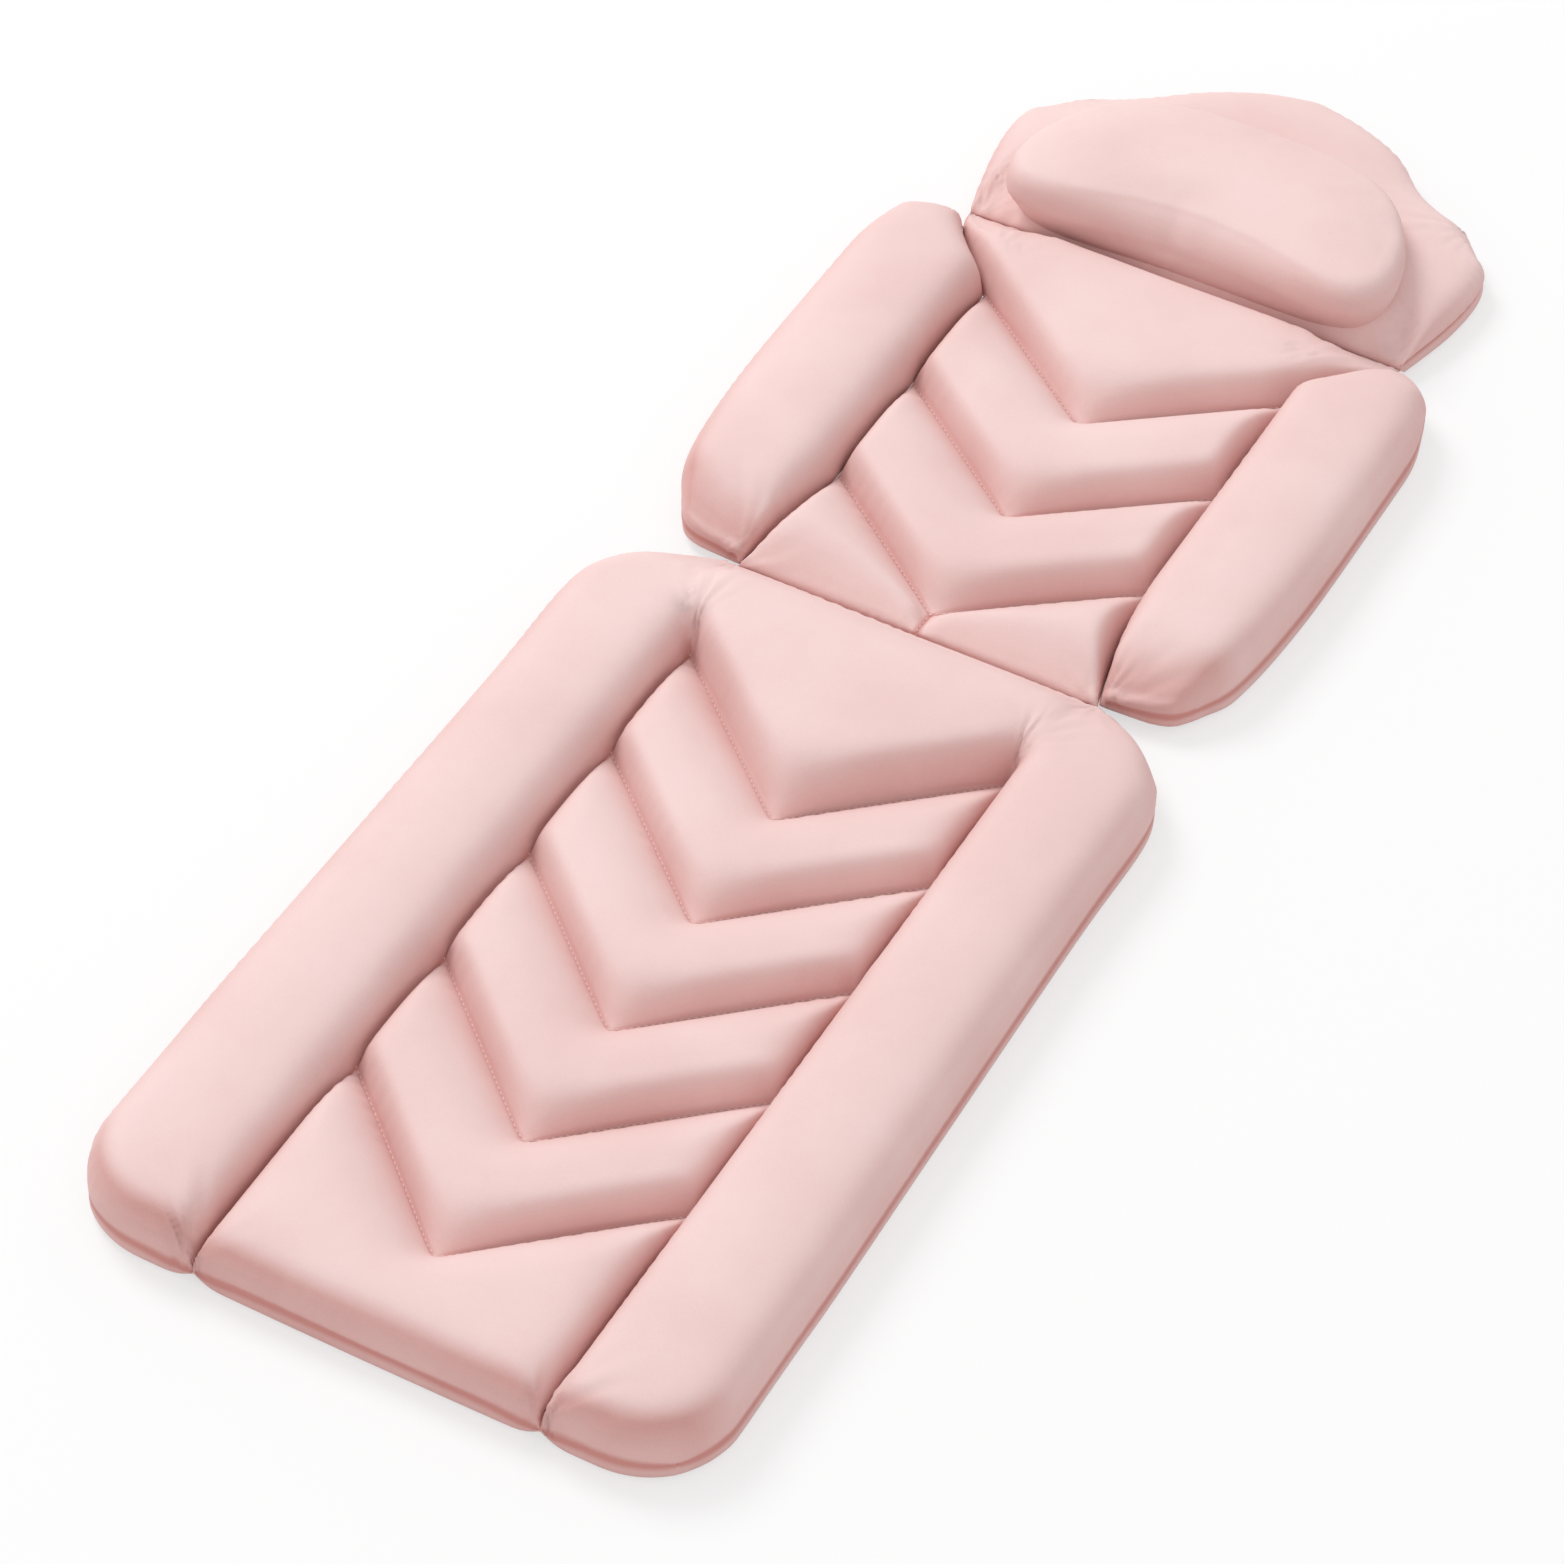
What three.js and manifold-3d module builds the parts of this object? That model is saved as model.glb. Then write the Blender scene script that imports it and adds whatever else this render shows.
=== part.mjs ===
import * as THREE from "three";
import Module from "manifold-3d";
import { mergeVertices } from "three/addons/utils/BufferGeometryUtils.js";

// A quilted full body bath cushion lying flat, in millimetres.
// +Y runs from the foot end to the head, +Z is up, and the origin is under the middle.

// Lengths of the quilted rows, measured along the middle of the cushion.
const footTipHeight = 76;
const chevronDrop = 100;
const chevronPitch = 97.5;
const topCellHeight = 85;
const stubLength = 20;
const backChevronDrop = 85;
const backChevronPitch = 101;
const shoulderHeight = 70;
const headLength = 222;

// Half widths of the quilted lane and what lies beside it.
const laneHalf = 112;
const footBolsterWidth = 99;
const topBolsterWidth = 91;
const waistHalf = 127;
const wingHingeX = 111;
const wingWidth = 93;
const neckHalf = 158;
const headFlare = 17;
const footCornerRadius = 52;

// Shares that shape the outlines between the named lengths.
const topTuckShare = 0.14;
const topCurveShare = 0.25;
const footSideShares = [1.2, 3];
const topSideShares = [2, 1];
const wingTopShare = 0.17;
const wingTipShare = 0.25;
const wingOuterShares = { tuck: 0.33, start: 2.5, low: 1.5, high: 1, topTuck: 0.08 };
const headBendShare = 0.42;
const headCupShare = 0.33;

// Layers: cloth, seams and the heights of the stuffed cells above the seams.
const clothThickness = 1.2;
const clearance = 0.4;
const panelLift = 9.6;
const edgeSag = 7.6;
const rimCrown = 37;
const footCrown = 31;
const chevronCrown = 27;
const backCrown = 28;
const wingCrown = 35;
const headCrown = 19;
const seamReach = 33;
const outlineReach = 45;
const headReach = 26;

// Folds between the sections.
const foldGap = 2.6;
const foldSlope = Math.tan(THREE.MathUtils.degToRad(54));
const cornerSlope = Math.tan(THREE.MathUtils.degToRad(34));
const seamBeadSides = 8;

// Head pillow, a bean that is sewn onto the head section.
const pillowHalf = 137;
const pillowDepth = 138;
const pillowHeight = 36;
const pillowOverhang = 9;
const pillowBellyShare = 0.4;
const pillowHollow = 21;
const pillowBaseInset = 9;

// Suction cups under the cushion.
const cupRadius = 21;
const cupRimHeight = 1.3;
const cupNeckRadius = 4;
const cupHeadRadius = 8;
const cupHeadHeight = 2.2;
const cupSides = 16;

const pink = new THREE.MeshStandardMaterial({ color: 0xeccdca, roughness: 0.92, metalness: 0 });
const pinkBacking = new THREE.MeshStandardMaterial({ color: 0xe0bdb9, roughness: 0.95, metalness: 0 });
const wadding = new THREE.MeshStandardMaterial({ color: 0xf4f1ea, roughness: 1, metalness: 0 });
const softVinyl = new THREE.MeshStandardMaterial({ color: 0xe9ecee, roughness: 0.25, metalness: 0 });

const chevronCount = 5;
const backChevronCount = 3;
const waistY = footTipHeight + chevronDrop + (chevronCount - 1) * chevronPitch + topCellHeight;
const firstBackSeamY = waistY + stubLength + backChevronDrop;
const lastBackSeamY = firstBackSeamY + (backChevronCount - 1) * backChevronPitch;
const neckY = lastBackSeamY + shoulderHeight;
const totalLength = neckY + headLength;

const panelTop = panelLift + clothThickness;
const fillBottom = panelTop + clearance;
const seamTop = panelTop + clearance + clothThickness;
const foldZ = (panelLift + seamTop) / 2;
const cutOverrun = 1;

const wasm = await Module();
wasm.setup();

function solidOf(geometry) {
  const bare = geometry.clone();
  bare.deleteAttribute("normal");
  bare.deleteAttribute("uv");
  const merged = mergeVertices(bare);
  const mesh = new wasm.Mesh({
    numProp: 3,
    vertProperties: merged.attributes.position.array,
    triVerts: new Uint32Array(merged.index.array),
  });
  return new wasm.Manifold(mesh);
}

function geometryOf(solid) {
  const mesh = solid.getMesh();
  const geometry = new THREE.BufferGeometry();
  geometry.setAttribute("position", new THREE.BufferAttribute(mesh.vertProperties, 3));
  geometry.setIndex(new THREE.BufferAttribute(mesh.triVerts, 1));
  geometry.computeVertexNormals();
  return geometry;
}

const cushion = new THREE.Group();
cushion.position.y = -totalLength / 2;

function addPiece(name, geometry, material) {
  const mesh = new THREE.Mesh(geometry, material);
  mesh.name = name;
  cushion.add(mesh);
}

// Shares across a cell that is stuffed from seam to seam: close together where it rises.
const cellShares = [0, 0.13, 0.37, 0.63, 0.87, 1];
const laneShares = [0, 0.27, 0.52, 0.74, 0.9, 1];
const cellSteps = cellShares.length - 1;
const laneSteps = laneShares.length - 1;

function lerpPoint(a, b, share) {
  return new THREE.Vector2().lerpVectors(a, b, share);
}

// Fills four border lines with a net of points; each line runs in the direction of its shares.
function coonsNet(bottom, top, inner, outer, acrossShares, alongShares) {
  return alongShares.map((v, j) =>
    acrossShares.map((u, i) => {
      const ruled = lerpPoint(bottom[i], top[i], v).add(lerpPoint(inner[j], outer[j], u));
      const lowEdge = lerpPoint(bottom[0], bottom.at(-1), u);
      const highEdge = lerpPoint(top[0], top.at(-1), u);
      return ruled.sub(lerpPoint(lowEdge, highEdge, v));
    }),
  );
}

// Mirrors a right half, whose rows start on the middle line, into whole rows.
function mirrored(rows) {
  return rows.map((row) => {
    const left = row.slice(1).reverse();
    return [...left.map((p) => new THREE.Vector2(-p.x, p.y)), ...row];
  });
}

function roundProfile(share) {
  const s = Math.min(1, share);
  return Math.sqrt(1 - (1 - s) ** 2);
}

function softProfile(share) {
  return Math.sin((Math.PI / 2) * Math.min(1, share));
}

function distanceToLine(point, line) {
  let least = Infinity;
  const edge = new THREE.Vector2();
  const away = new THREE.Vector2();
  for (let i = 1; i < line.length; i += 1) {
    edge.subVectors(line[i], line[i - 1]);
    if (edge.lengthSq() === 0) continue;
    away.subVectors(point, line[i - 1]);
    const share = THREE.MathUtils.clamp(away.dot(edge) / edge.lengthSq(), 0, 1);
    least = Math.min(least, away.addScaledVector(edge, -share).length());
  }
  return least;
}

// Near a fold the stuffing stays under a slope, gentler beside the wings, so that the fold can close.
function foldRelief(point, foldY) {
  const corner = THREE.MathUtils.smoothstep(Math.abs(point.x), wingHingeX, waistHalf);
  return Math.max(0, Math.abs(point.y - foldY) - foldGap) * THREE.MathUtils.lerp(foldSlope, cornerSlope, corner);
}

// A cell net knows the plan place and the stuffed height of each of its points.
// Seams are lines with a reach, over which the cloth rises to the full crown.
function cellNet(rows, seams, crownAt, foldLines) {
  const heights = rows.map((row, r) =>
    row.map((point, c) => {
      let rise = 1;
      for (const seam of seams) {
        rise = Math.min(rise, seam.profile(distanceToLine(point, seam.line) / seam.reach));
      }
      const relief = foldLines.map((foldY) => foldRelief(point, foldY));
      return Math.min(crownAt(r, c) * rise, ...relief);
    }),
  );
  return { rows, heights };
}

// Two triangles for each quad, with the diagonals mirrored about the middle.
function quadTriangles(net, keep) {
  const width = net.rows[0].length;
  const middle = (width - 1) / 2;
  const triangles = [];
  for (let r = 0; r < net.rows.length - 1; r += 1) {
    for (let c = 0; c < width - 1; c += 1) {
      if (!keep(r, c)) continue;
      const a = r * width + c;
      const b = a + 1;
      const d = a + width;
      const e = d + 1;
      if (c < middle) triangles.push([a, b, d], [b, e, d]);
      else triangles.push([a, b, e], [a, e, d]);
    }
  }
  return triangles;
}

// The edges that only one triangle uses, each in the direction of its triangle.
function borderEdges(triangles) {
  const edges = new Map();
  for (const [a, b, c] of triangles) {
    for (const [from, to] of [[a, b], [b, c], [c, a]]) {
      if (edges.has(`${to},${from}`)) edges.delete(`${to},${from}`);
      else edges.set(`${from},${to}`, [from, to]);
    }
  }
  return [...edges.values()];
}

function borderLoop(triangles) {
  const next = new Map(borderEdges(triangles));
  const start = next.keys().next().value;
  const loop = [start];
  while (next.get(loop.at(-1)) !== start) loop.push(next.get(loop.at(-1)));
  return loop;
}

// Closes a patch of the net into a body between an upper and a lower height.
// A flat underside needs only the border of the patch.
function layerGeometry(net, triangles, upper, lower, flatUnderside) {
  const plan = net.rows.flat();
  const lift = net.heights.flat();
  const positions = [];
  const addCorner = (index, height) => positions.push(plan[index].x, plan[index].y, height(lift[index], index));
  const addTriangle = (corners) => corners.forEach(([index, height]) => addCorner(index, height));
  for (const [a, b, c] of triangles) addTriangle([[a, upper], [b, upper], [c, upper]]);
  if (flatUnderside) {
    const loop = borderLoop(triangles);
    const contour = loop.map((index) => plan[index]);
    for (const [a, b, c] of THREE.ShapeUtils.triangulateShape(contour, [])) {
      addTriangle([[loop[a], lower], [loop[c], lower], [loop[b], lower]]);
    }
  } else {
    for (const [a, b, c] of triangles) addTriangle([[a, lower], [c, lower], [b, lower]]);
  }
  for (const [from, to] of borderEdges(triangles)) {
    addTriangle([[from, lower], [to, lower], [to, upper]]);
    addTriangle([[from, lower], [to, upper], [from, upper]]);
  }
  const geometry = new THREE.BufferGeometry();
  geometry.setAttribute("position", new THREE.Float32BufferAttribute(positions, 3));
  return geometry;
}

function coverGeometry(net) {
  const triangles = quadTriangles(net, () => true);
  const upper = (rise) => seamTop + rise;
  const lower = (rise) => seamTop - clothThickness + rise;
  return layerGeometry(net, triangles, upper, lower, false);
}

// The stuffing of one cell keeps clear of the seams round it.
function fillGeometry(net, inCell) {
  const width = net.rows[0].length;
  const lift = net.heights.flat();
  const stuffed = (r, c) => {
    const a = r * width + c;
    return inCell(r, c) && [a, a + 1, a + width, a + width + 1].every((i) => lift[i] > clothThickness);
  };
  const upper = (rise) => Math.max(seamTop - clothThickness - clearance + rise, fillBottom + clearance);
  return layerGeometry(net, quadTriangles(net, stuffed), upper, () => fillBottom, true);
}

// The backing is flat, sags in a roll just inside its free edges, and meets the cover at the rim.
const sagRing = 1;
const flatRing = 2;

function backingGeometry(net, sagAt) {
  const lastRow = net.rows.length - 1;
  const lastColumn = net.rows[0].length - 1;
  const ringOf = (r, c) => Math.min(r, c, lastRow - r, lastColumn - c);
  const plan = net.rows.flat();
  const width = lastColumn + 1;
  const inRim = (r, c) => Math.min(r, c, lastRow - 1 - r, lastColumn - 1 - c) < flatRing;
  const rim = quadTriangles(net, inRim);
  const inside = quadTriangles(net, (r, c) => !inRim(r, c));
  const loop = borderLoop(inside);
  const contour = loop.map((index) => plan[index]);
  const floor = THREE.ShapeUtils.triangulateShape(contour, []).map((t) => t.map((i) => loop[i]));
  const upper = (rise, index) => {
    const ring = ringOf(Math.floor(index / width), index % width);
    return ring === sagRing ? panelTop - edgeSag * sagAt(plan[index]) : panelTop;
  };
  const lower = (rise, index) => upper(rise, index) - clothThickness;
  return layerGeometry(net, [...rim, ...floor], upper, lower, false);
}

// Sag grows with the distance from the folds, where the backing stays flat.
function sagAwayFrom(foldLines, alongX) {
  return (point) => {
    const gaps = foldLines.map((y) => Math.abs(point.y - y));
    if (alongX) gaps.push(Math.abs(Math.abs(point.x) - wingHingeX));
    return THREE.MathUtils.smoothstep(Math.min(...gaps), foldGap, 2 * seamReach);
  };
}

function cupGeometry() {
  const neckTop = panelTop + clearance;
  const skirtTop = panelLift - clearance;
  const cupWall = clothThickness;
  const profile = [
    [0, skirtTop - 2 * cupWall],
    [cupRadius - 2 * cupWall, 0],
    [cupRadius, 0],
    [cupRadius, cupRimHeight],
    [cupHeadRadius, skirtTop - cupWall],
    [cupHeadRadius, skirtTop],
    [cupNeckRadius, skirtTop],
    [cupNeckRadius, neckTop],
    [cupHeadRadius, neckTop],
    [cupHeadRadius, neckTop + cupHeadHeight],
    [0, neckTop + cupHeadHeight],
  ];
  return new THREE.LatheGeometry(profile.map(([x, z]) => new THREE.Vector2(x, z)), cupSides).rotateX(Math.PI / 2);
}

function standingCylinder(radius, bottom, top) {
  const geometry = new THREE.CylinderGeometry(radius, radius, top - bottom, cupSides);
  return geometry.rotateX(Math.PI / 2).translate(0, 0, (top + bottom) / 2);
}

// Button holes in the backing and pockets in the stuffing, one for each cup.
function withCupCuts(geometry, places, radius, bottom, top) {
  let solid = solidOf(geometry);
  for (const place of places) {
    const cutter = standingCylinder(radius + clearance, bottom, top).translate(place.x, place.y, 0);
    solid = solid.subtract(solidOf(cutter));
  }
  return geometryOf(solid);
}

function withButtonHoles(geometry, places) {
  return withCupCuts(geometry, places, cupNeckRadius, -cutOverrun, seamTop);
}

function withHeadPockets(geometry, places) {
  return withCupCuts(geometry, places, cupHeadRadius, 0, fillBottom + cupHeadHeight + clearance);
}

function addCups(section, places) {
  places.forEach((place, i) => {
    addPiece(`${section}_suction_cup_${i + 1}`, cupGeometry().translate(place.x, place.y, 0), softVinyl);
  });
}

function pairAt(x, y) {
  return [new THREE.Vector2(-x, y), new THREE.Vector2(x, y)];
}

// A rolled seam allowance, which joins two sections and is the line that they fold about.
function seamBead(name, from, to) {
  const radius = foldGap - clearance;
  const length = from.distanceTo(to);
  const bead = new THREE.CylinderGeometry(radius, radius, length, seamBeadSides);
  if (Math.abs(to.x - from.x) > Math.abs(to.y - from.y)) bead.rotateZ(Math.PI / 2);
  bead.translate((from.x + to.x) / 2, (from.y + to.y) / 2, foldZ);
  addPiece(name, bead, pinkBacking);
}

// The lower section: five chevron seams between two bolsters that join in one chamber at the top.
function lowerNet() {
  const footHalf = laneHalf + footBolsterWidth;
  const topHalf = laneHalf + topBolsterWidth;
  const topY = waistY - foldGap;
  const chevronEnds = Array.from({ length: chevronCount }, (_, k) => footTipHeight + chevronDrop + k * chevronPitch);
  const laneRows = [];
  const seamEnds = [0, ...chevronEnds, topY];
  for (let cell = 0; cell < seamEnds.length - 1; cell += 1) {
    const lowDrop = cell === 0 ? 0 : chevronDrop;
    const highDrop = cell === chevronCount ? 0 : chevronDrop;
    const widening = cell === chevronCount ? waistHalf - laneHalf : 0;
    for (const share of cellShares.slice(cell === 0 ? 0 : 1)) {
      const y = THREE.MathUtils.lerp(seamEnds[cell], seamEnds[cell + 1], share);
      const drop = THREE.MathUtils.lerp(lowDrop, highDrop, share);
      const half = laneHalf + widening * share;
      laneRows.push(laneShares.map((c) => new THREE.Vector2(half * c, y - drop * (1 - c))));
    }
  }
  const alongShares = laneRows.map((row) => row.at(-1).y / topY);
  const foot = new THREE.Path().moveTo(laneHalf, 0).lineTo(footHalf - footCornerRadius, 0);
  const cornerX = footHalf - footCornerRadius;
  foot.absarc(cornerX, footCornerRadius, footCornerRadius, -Math.PI / 2, -Math.PI / 4);
  const footEnd = foot.getPoint(1);
  const shoulderDrop = topCellHeight / 2;
  const topEnd = new THREE.Vector2(topHalf - topBolsterWidth * topTuckShare, waistY - shoulderDrop);
  const top = new THREE.QuadraticBezierCurve(
    new THREE.Vector2(waistHalf, topY),
    new THREE.Vector2(topHalf - shoulderDrop, waistY - shoulderDrop * topCurveShare),
    topEnd,
  );
  const side = new THREE.SplineCurve([
    footEnd,
    ...footSideShares.map((s) => new THREE.Vector2(footHalf, s * footCornerRadius)),
    new THREE.Vector2((footHalf + topHalf) / 2, waistY / 2),
    ...topSideShares.map((s) => new THREE.Vector2(topHalf, waistY - s * topCellHeight)),
    topEnd,
  ]);
  const bolster = coonsNet(
    cellShares.map((s) => foot.getPointAt(s)),
    cellShares.map((s) => top.getPointAt(s)),
    laneRows.map((row) => row.at(-1)),
    alongShares.map((s) => side.getPointAt(s)),
    cellShares,
    alongShares,
  );
  const rows = mirrored(laneRows.map((row, j) => [...row, ...bolster[j].slice(1)]));
  const width = rows[0].length;
  const middle = (width - 1) / 2;
  const laneLeft = middle - laneSteps;
  const laneRight = middle + laneSteps;
  const topChevronRow = chevronCount * cellSteps;
  const lane = (row) => row.slice(laneLeft, laneRight + 1);
  const seams = [];
  for (let row = cellSteps; row <= topChevronRow; row += cellSteps) {
    seams.push({ line: lane(rows[row]), reach: seamReach, profile: softProfile });
  }
  for (const column of [laneLeft, laneRight]) {
    const line = rows.slice(0, topChevronRow + 1).map((row) => row[column]);
    seams.push({ line, reach: seamReach, profile: softProfile });
  }
  const rim = [...rows.map((row) => row[0]).reverse(), ...rows[0], ...rows.map((row) => row.at(-1))];
  const shoulders = [rows.at(-1).slice(0, laneLeft + 1), rows.at(-1).slice(laneRight)];
  for (const line of [rim, ...shoulders]) seams.push({ line, reach: outlineReach, profile: roundProfile });
  seams.push({ line: lane(rows.at(-1)), reach: seamReach, profile: softProfile });
  const inLane = (c) => c >= laneLeft && c < laneRight;
  const cellOf = (r, c) => (inLane(c) ? Math.min(Math.floor(r / cellSteps), chevronCount) : chevronCount);
  const crownAt = (r, c) => {
    const cell = c > laneLeft && c < laneRight ? Math.min(Math.floor(r / cellSteps), chevronCount) : chevronCount;
    if (cell === 0) return footCrown;
    return cell === chevronCount ? rimCrown : chevronCrown;
  };
  return { ...cellNet(rows, seams, crownAt, [waistY]), cellOf };
}

function addLowerSection() {
  const net = lowerNet();
  const cupX = laneHalf + footBolsterWidth / 2;
  const cupStep = (waistY - 2 * footTipHeight) / 2;
  const places = [0, 1, 2].flatMap((k) => pairAt(cupX, footTipHeight + k * cupStep));
  const sag = sagAwayFrom([waistY], false);
  addPiece("lower_top_cover", coverGeometry(net), pink);
  addPiece("lower_backing", withButtonHoles(backingGeometry(net, sag), places), pinkBacking);
  const rimFill = fillGeometry(net, (r, c) => net.cellOf(r, c) === chevronCount);
  addPiece("lower_bolster_fill", withHeadPockets(rimFill, places), wadding);
  addPiece("foot_cell_fill", fillGeometry(net, (r, c) => net.cellOf(r, c) === 0), wadding);
  for (let k = 1; k < chevronCount; k += 1) {
    addPiece(`lower_chevron_fill_${k}`, fillGeometry(net, (r, c) => net.cellOf(r, c) === k), wadding);
  }
  addCups("lower", places);
}

// The wing seam runs straight beside the back and flares out at the waist and at the neck.
function wingSeamX(y) {
  if (y < firstBackSeamY) {
    return wingHingeX + (waistHalf - wingHingeX) * ((firstBackSeamY - y) / (firstBackSeamY - waistY)) ** 2;
  }
  if (y > lastBackSeamY) {
    const share = (y - lastBackSeamY) / shoulderHeight;
    return wingHingeX + (neckHalf - wingHingeX) * Math.sin((Math.PI / 2) * share);
  }
  return wingHingeX;
}

// The back section: three chevron seams, with a short seam from the lowest tip to the waist.
function backNet() {
  const ends = Array.from({ length: backChevronCount }, (_, k) => firstBackSeamY + k * backChevronPitch);
  const seamEnds = [waistY + foldGap, ...ends, neckY - foldGap];
  const half = [];
  for (let cell = 0; cell < seamEnds.length - 1; cell += 1) {
    const lowDrop = cell === 0 ? 0 : backChevronDrop;
    const highDrop = cell === backChevronCount ? 0 : backChevronDrop;
    for (const share of cellShares.slice(cell === 0 ? 0 : 1)) {
      const y = THREE.MathUtils.lerp(seamEnds[cell], seamEnds[cell + 1], share);
      const drop = THREE.MathUtils.lerp(lowDrop, highDrop, share);
      const reach = wingSeamX(y) - foldGap;
      half.push(laneShares.map((c) => new THREE.Vector2(reach * c, y - drop * (1 - c))));
    }
  }
  const rows = mirrored(half);
  const middle = laneSteps;
  const seams = [];
  for (let cell = 0; cell <= seamEnds.length - 1; cell += 1) {
    seams.push({ line: rows[cell * cellSteps], reach: seamReach, profile: softProfile });
  }
  for (const column of [0, rows[0].length - 1]) {
    seams.push({ line: rows.map((row) => row[column]), reach: seamReach, profile: softProfile });
  }
  const stub = rows.slice(0, cellSteps + 1).map((row) => row[middle]);
  seams.push({ line: stub, reach: seamReach, profile: softProfile });
  const cellOf = (r, c) => {
    const cell = Math.min(Math.floor(r / cellSteps), backChevronCount);
    return cell === 0 && c < middle ? -1 : cell;
  };
  return { ...cellNet(rows, seams, () => backCrown, [waistY, neckY]), cellOf };
}

function addBackSection() {
  const net = backNet();
  const places = pairAt(wingHingeX / 2, lastBackSeamY);
  const sag = sagAwayFrom([waistY, neckY], true);
  addPiece("back_top_cover", coverGeometry(net), pink);
  addPiece("back_backing", withButtonHoles(backingGeometry(net, sag), places), pinkBacking);
  const shoulderFill = fillGeometry(net, (r, c) => net.cellOf(r, c) === backChevronCount);
  addPiece("shoulder_cell_fill", withHeadPockets(shoulderFill, places), wadding);
  for (let k = 1; k < backChevronCount; k += 1) {
    addPiece(`back_chevron_fill_${k}`, fillGeometry(net, (r, c) => net.cellOf(r, c) === k), wadding);
  }
  addPiece("waist_corner_fill_left", fillGeometry(net, (r, c) => net.cellOf(r, c) === -1), wadding);
  addPiece("waist_corner_fill_right", fillGeometry(net, (r, c) => net.cellOf(r, c) === 0), wadding);
  addCups("back", places);
  const beadEnd = laneHalf;
  seamBead("waist_seam", new THREE.Vector2(-beadEnd, waistY), new THREE.Vector2(beadEnd, waistY));
}

// A wing is one long bolster, drawn in to a point at the waist and at the neck.
const wingRowShares = [0, 0.05, 0.14, 0.26, 0.4, 0.55, 0.7, 0.82, 0.91, 0.97, 1];

function wingNet() {
  const outerX = wingHingeX + wingWidth;
  const lowY = waistY + 2 * foldGap;
  const highY = neckY - 2 * foldGap - shoulderHeight * wingTopShare;
  const inner = wingRowShares.map((s) => {
    const y = THREE.MathUtils.lerp(lowY, highY, s);
    return new THREE.Vector2(wingSeamX(y) + foldGap, y);
  });
  const tipWidth = wingWidth * wingTipShare;
  const lowEnd = new THREE.Vector2(outerX - tipWidth, lowY + tipWidth);
  const highEnd = new THREE.Vector2(outerX - tipWidth / 2, highY - tipWidth);
  const bottom = new THREE.QuadraticBezierCurve(
    inner[0],
    new THREE.Vector2((inner[0].x + outerX) / 2, lowY),
    lowEnd,
  );
  const top = new THREE.QuadraticBezierCurve(
    inner.at(-1),
    new THREE.Vector2((inner.at(-1).x + outerX) / 2, highY - foldGap),
    highEnd,
  );
  const line = wingOuterShares;
  const outer = new THREE.SplineCurve([
    lowEnd,
    new THREE.Vector2(outerX - tipWidth * line.tuck, lowY + tipWidth * line.start),
    new THREE.Vector2(outerX, lowY + wingWidth * line.low),
    new THREE.Vector2(outerX, highY - wingWidth * line.high),
    new THREE.Vector2(outerX - tipWidth * line.topTuck, highY - tipWidth * line.start),
    highEnd,
  ]);
  return coonsNet(
    cellShares.map((s) => bottom.getPoint(s)),
    cellShares.map((s) => top.getPoint(s)),
    inner,
    wingRowShares.map((s) => outer.getPointAt(s)),
    cellShares,
    wingRowShares,
  );
}

function addWing(side, mirror) {
  const rows = wingNet().map((row) => {
    const placed = row.map((p) => new THREE.Vector2(p.x * mirror, p.y));
    return mirror < 0 ? placed.reverse() : placed;
  });
  const hingeColumn = mirror < 0 ? rows[0].length - 1 : 0;
  const freeColumn = mirror < 0 ? 0 : rows[0].length - 1;
  const free = [...rows[0]];
  const freeEdge = mirror < 0 ? free.reverse() : free;
  const farEdge = mirror < 0 ? [...rows.at(-1)] : [...rows.at(-1)].reverse();
  const outline = [...freeEdge, ...rows.map((row) => row[freeColumn]), ...farEdge];
  const seams = [
    { line: rows.map((row) => row[hingeColumn]), reach: seamReach, profile: softProfile },
    { line: outline, reach: seamReach, profile: roundProfile },
  ];
  const net = cellNet(rows, seams, () => wingCrown, [waistY, neckY]);
  const place = new THREE.Vector2(mirror * (wingHingeX + wingWidth / 2), (firstBackSeamY + lastBackSeamY) / 2);
  addPiece(`${side}_wing_cover`, coverGeometry(net), pink);
  const backing = backingGeometry(net, sagAwayFrom([waistY, neckY], true));
  addPiece(`${side}_wing_backing`, withButtonHoles(backing, [place]), pinkBacking);
  addPiece(`${side}_wing_fill`, withHeadPockets(fillGeometry(net, () => true), [place]), wadding);
  addCups(`${side}_wing`, [place]);
  const hinge = mirror * wingHingeX;
  seamBead(
    `${side}_wing_seam`,
    new THREE.Vector2(hinge, firstBackSeamY),
    new THREE.Vector2(hinge, lastBackSeamY),
  );
}

// The head section is a flat shield that narrows to a rounded top.
const headRowShares = [0, 0.06, 0.2, 0.4, 0.62, 0.82, 0.94, 1];
const headTopShares = [[0, 1], [0.2, 0.965], [0.42, 0.87], [0.58, 0.765], [0.8, 0.665], [0.95, 0.53]];

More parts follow.
